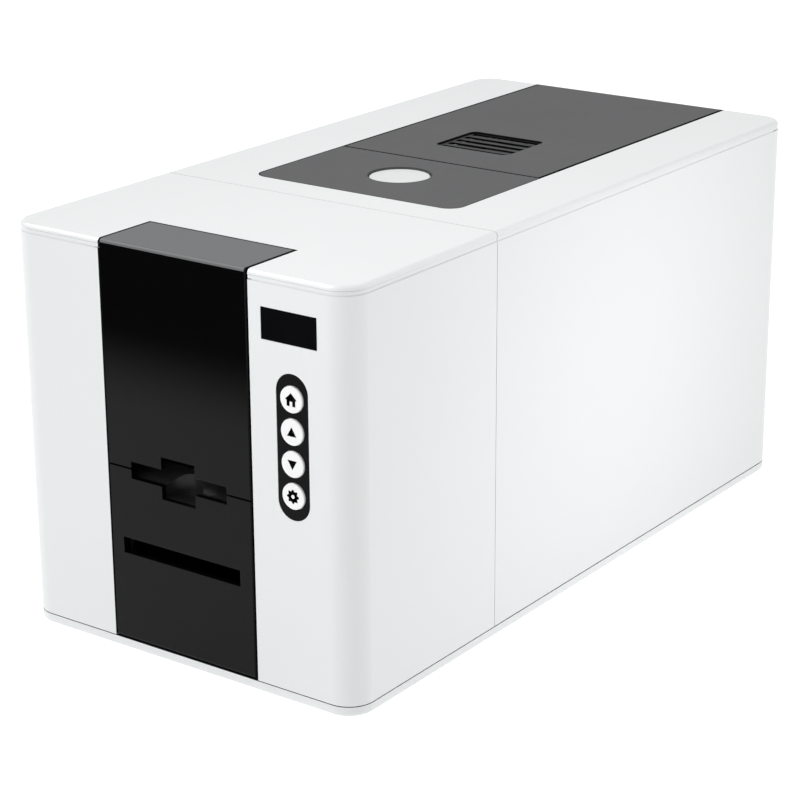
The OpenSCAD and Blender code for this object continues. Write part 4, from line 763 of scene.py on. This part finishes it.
def coil(name, centre_x, centre_y, z0, z1, radius, wire_r, turns, mat, body):
    """A helical spring whose first and last turns lie flat."""
    steps, ring = int(turns * STEPS_PER_TURN), WIRE_SIDES
    low, high, flat = z0 + wire_r, z1 - wire_r, 1.0 / turns
    verts, faces = [], []
    for i in range(steps + 1):
        t = i / steps
        a = 2 * math.pi * turns * t
        rise = min(max((t - flat) / (1 - 2 * flat), 0.0), 1.0)
        centre = Vector((centre_x, centre_y, low + (high - low) * rise))
        out = Vector((math.cos(a), math.sin(a), 0))
        for k in range(ring):
            b = 2 * math.pi * k / ring
            p = centre + out * (radius + wire_r * math.cos(b))
            p.z += wire_r * math.sin(b)
            verts.append(tuple(p))
    for i in range(steps):
        for k in range(ring):
            a0, a1 = i * ring + k, i * ring + (k + 1) % ring
            faces.append((a0, a1, a1 + ring, a0 + ring))
    faces.append(tuple(range(ring))[::-1])
    faces.append(tuple(range(steps * ring, (steps + 1) * ring)))
    return new_piece(name, verts, faces, mat, body, COIL_DEGREES)


button_coil = coil("button_coil", 0.0, BUTTON_Y, SPRING_Z0, SPRING_Z1, 3.7, 0.4, 6.0,
                   ground, "lid")
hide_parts("button_spring")
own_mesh(button_coil)
for side, x in (("left", -20.0), ("right", 20.0)):
    c = coil(f"head_coil_{side}", x, 0.0, HEAD_SPRING_Z0, HEAD_SPRING_Z1, 3.55, 0.45, 9.0,
             ground, "lid")
    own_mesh(c)
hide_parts("head_springs")


# ---------------------------------------------------------------- lip inside the top seam

LIP_Z0, LIP_Z1, LIP_INSET, LIP_WIDTH = 206.3, 206.76, 0.3, 0.8
LIP_BAY_X, LIP_REAR_Y = 46.0, 190.0    # it leaves out the door bay and stops before the rear
LIP_STEP, CORNER_STEPS = 2.0, 14       # distance of its points in mm, steps round a corner


def outline_ring(inset):
    """Plan outline of the body drawn in by an inset, anticlockwise."""
    r = CORNER_R - inset
    x, y = HALF_W - CORNER_R, HALF_D - CORNER_R
    line = []
    for cx, cy, start in ((x, y, 0), (-x, y, 90), (-x, -y, 180), (x, -y, 270)):
        for i in range(CORNER_STEPS + 1):
            a = math.radians(start + 90 * i / CORNER_STEPS)
            line.append((cx + r * math.cos(a), cy + r * math.sin(a)))
    return line


def lip_rows():
    """Pairs of points on the outer and inner edge of the lip, close together all the way round."""
    outer, inner = outline_ring(LIP_INSET), outline_ring(LIP_INSET + LIP_WIDTH)
    rows = []
    for i in range(len(outer)):
        j = (i + 1) % len(outer)
        parts = max(1, int(math.dist(outer[i], outer[j]) / LIP_STEP))
        for part in range(parts):
            f = part / parts
            rows.append([tuple(a + (b - a) * f for a, b in zip(line[i], line[j]))
                         for line in (outer, inner)])
    return rows


def seam_lip(name, mat, body):
    """Thin lip along the outline inside the top seam."""
    rows = lip_rows()
    n = len(rows)
    good = [not (abs(x) < LIP_BAY_X and y < 0) and not (y > LIP_REAR_Y) for (x, y), _ in rows]
    verts = [(*point, z) for row in rows for point in row for z in (LIP_Z0, LIP_Z1)]
    faces = []
    for i in range(n):
        j = (i + 1) % n
        if not (good[i] and good[j]):
            continue
        a, b = 4 * i, 4 * j
        faces += [(a, b, b + 1, a + 1), (a + 3, b + 3, b + 2, a + 2),
                  (a + 1, b + 1, b + 3, a + 3), (a + 2, b + 2, b, a)]
        if not good[i - 1]:
            faces.append((a, a + 1, a + 3, a + 2))
        if not good[(j + 1) % n]:
            faces.append((b, b + 2, b + 3, b + 1))
    used = sorted({v for f in faces for v in f})
    index = {v: i for i, v in enumerate(used)}
    piece = new_piece(name, [verts[v] for v in used],
                      [tuple(index[v] for v in f) for f in faces], mat, body)


seam_lip("top_seam_lip", white, "case")


# ---------------------------------------------------------------- icons on the keys

def fixed_order(bm):
    """Points and faces of a bmesh, in an order that is the same on each run."""
    points = sorted(bm.verts, key=lambda v: tuple(v.co))
    place = {v: i for i, v in enumerate(points)}
    faces = []
    for face in bm.faces:
        ring = [place[v] for v in face.verts]
        first = ring.index(min(ring))
        faces.append(ring[first:] + ring[:first])
    return [tuple(v.co) for v in points], sorted(faces)


def prism_front(name, outlines, y0, y1, mat, body):
    """Thin raised figure on the front: closed outlines in X and Z, the first round the others."""
    bm = bmesh.new()
    edges = []
    for line in outlines:
        vs = [bm.verts.new((x * MM, y0 * MM, z * MM)) for x, z in line]
        edges += [bm.edges.new((vs[i], vs[(i + 1) % len(vs)])) for i in range(len(vs))]
    bmesh.ops.triangle_fill(bm, use_beauty=True, edges=edges)
    extruded = bmesh.ops.extrude_face_region(bm, geom=list(bm.faces))
    moved = [v for v in extruded["geom"] if isinstance(v, bmesh.types.BMVert)]
    bmesh.ops.translate(bm, verts=moved, vec=(0, (y1 - y0) * MM, 0))
    bmesh.ops.recalc_face_normals(bm, faces=bm.faces)
    me = bpy.data.meshes.new(name)
    points, faces = fixed_order(bm)
    me.from_pydata(points, [], faces)
    bm.free()
    me.materials.append(mat.mat)
    obj = add_object(name, me)
    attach(obj, body)


def polar(radius, degrees):
    return radius * math.cos(math.radians(degrees)), radius * math.sin(math.radians(degrees))


ICON_HEIGHT = 0.05
GEAR_R, TOOTH, TEETH, GEAR_HOLE_R = 3.1, 0.45, 8, 0.95
HOUSE = [(-3.3, 0.1), (0, 3.3), (3.3, 0.1), (2.5, -0.3), (2.5, -3.1), (0.75, -3.1), (0.75, -0.8),
         (-0.75, -0.8), (-0.75, -3.1), (-2.5, -3.1), (-2.5, -0.3)]
UP = [(-2.7, -2.0), (0, 2.6), (2.7, -2.0)]
DOWN = [(-2.7, 2.0), (2.7, 2.0), (0, -2.6)]
GEAR = [polar(GEAR_R + TOOTH * math.cos(math.radians(TEETH * a)), a) for a in range(0, 360, 5)]
GEAR_HOLE = [polar(GEAR_HOLE_R, a) for a in range(0, 360, 15)]
ICONS = (("home", [HOUSE]), ("up", [UP]), ("down", [DOWN]), ("menu", [GEAR, GEAR_HOLE]))
for (key, outlines), z in zip(ICONS, KEY_ZS):
    on_key = [[(KEY_X + dx, z + dz) for dx, dz in line] for line in outlines]
    prism_front(f"icon_{key}", on_key, KEY_FACE_Y, KEY_FACE_Y + ICON_HEIGHT, icon_ink,
                f"key_{key}_body")
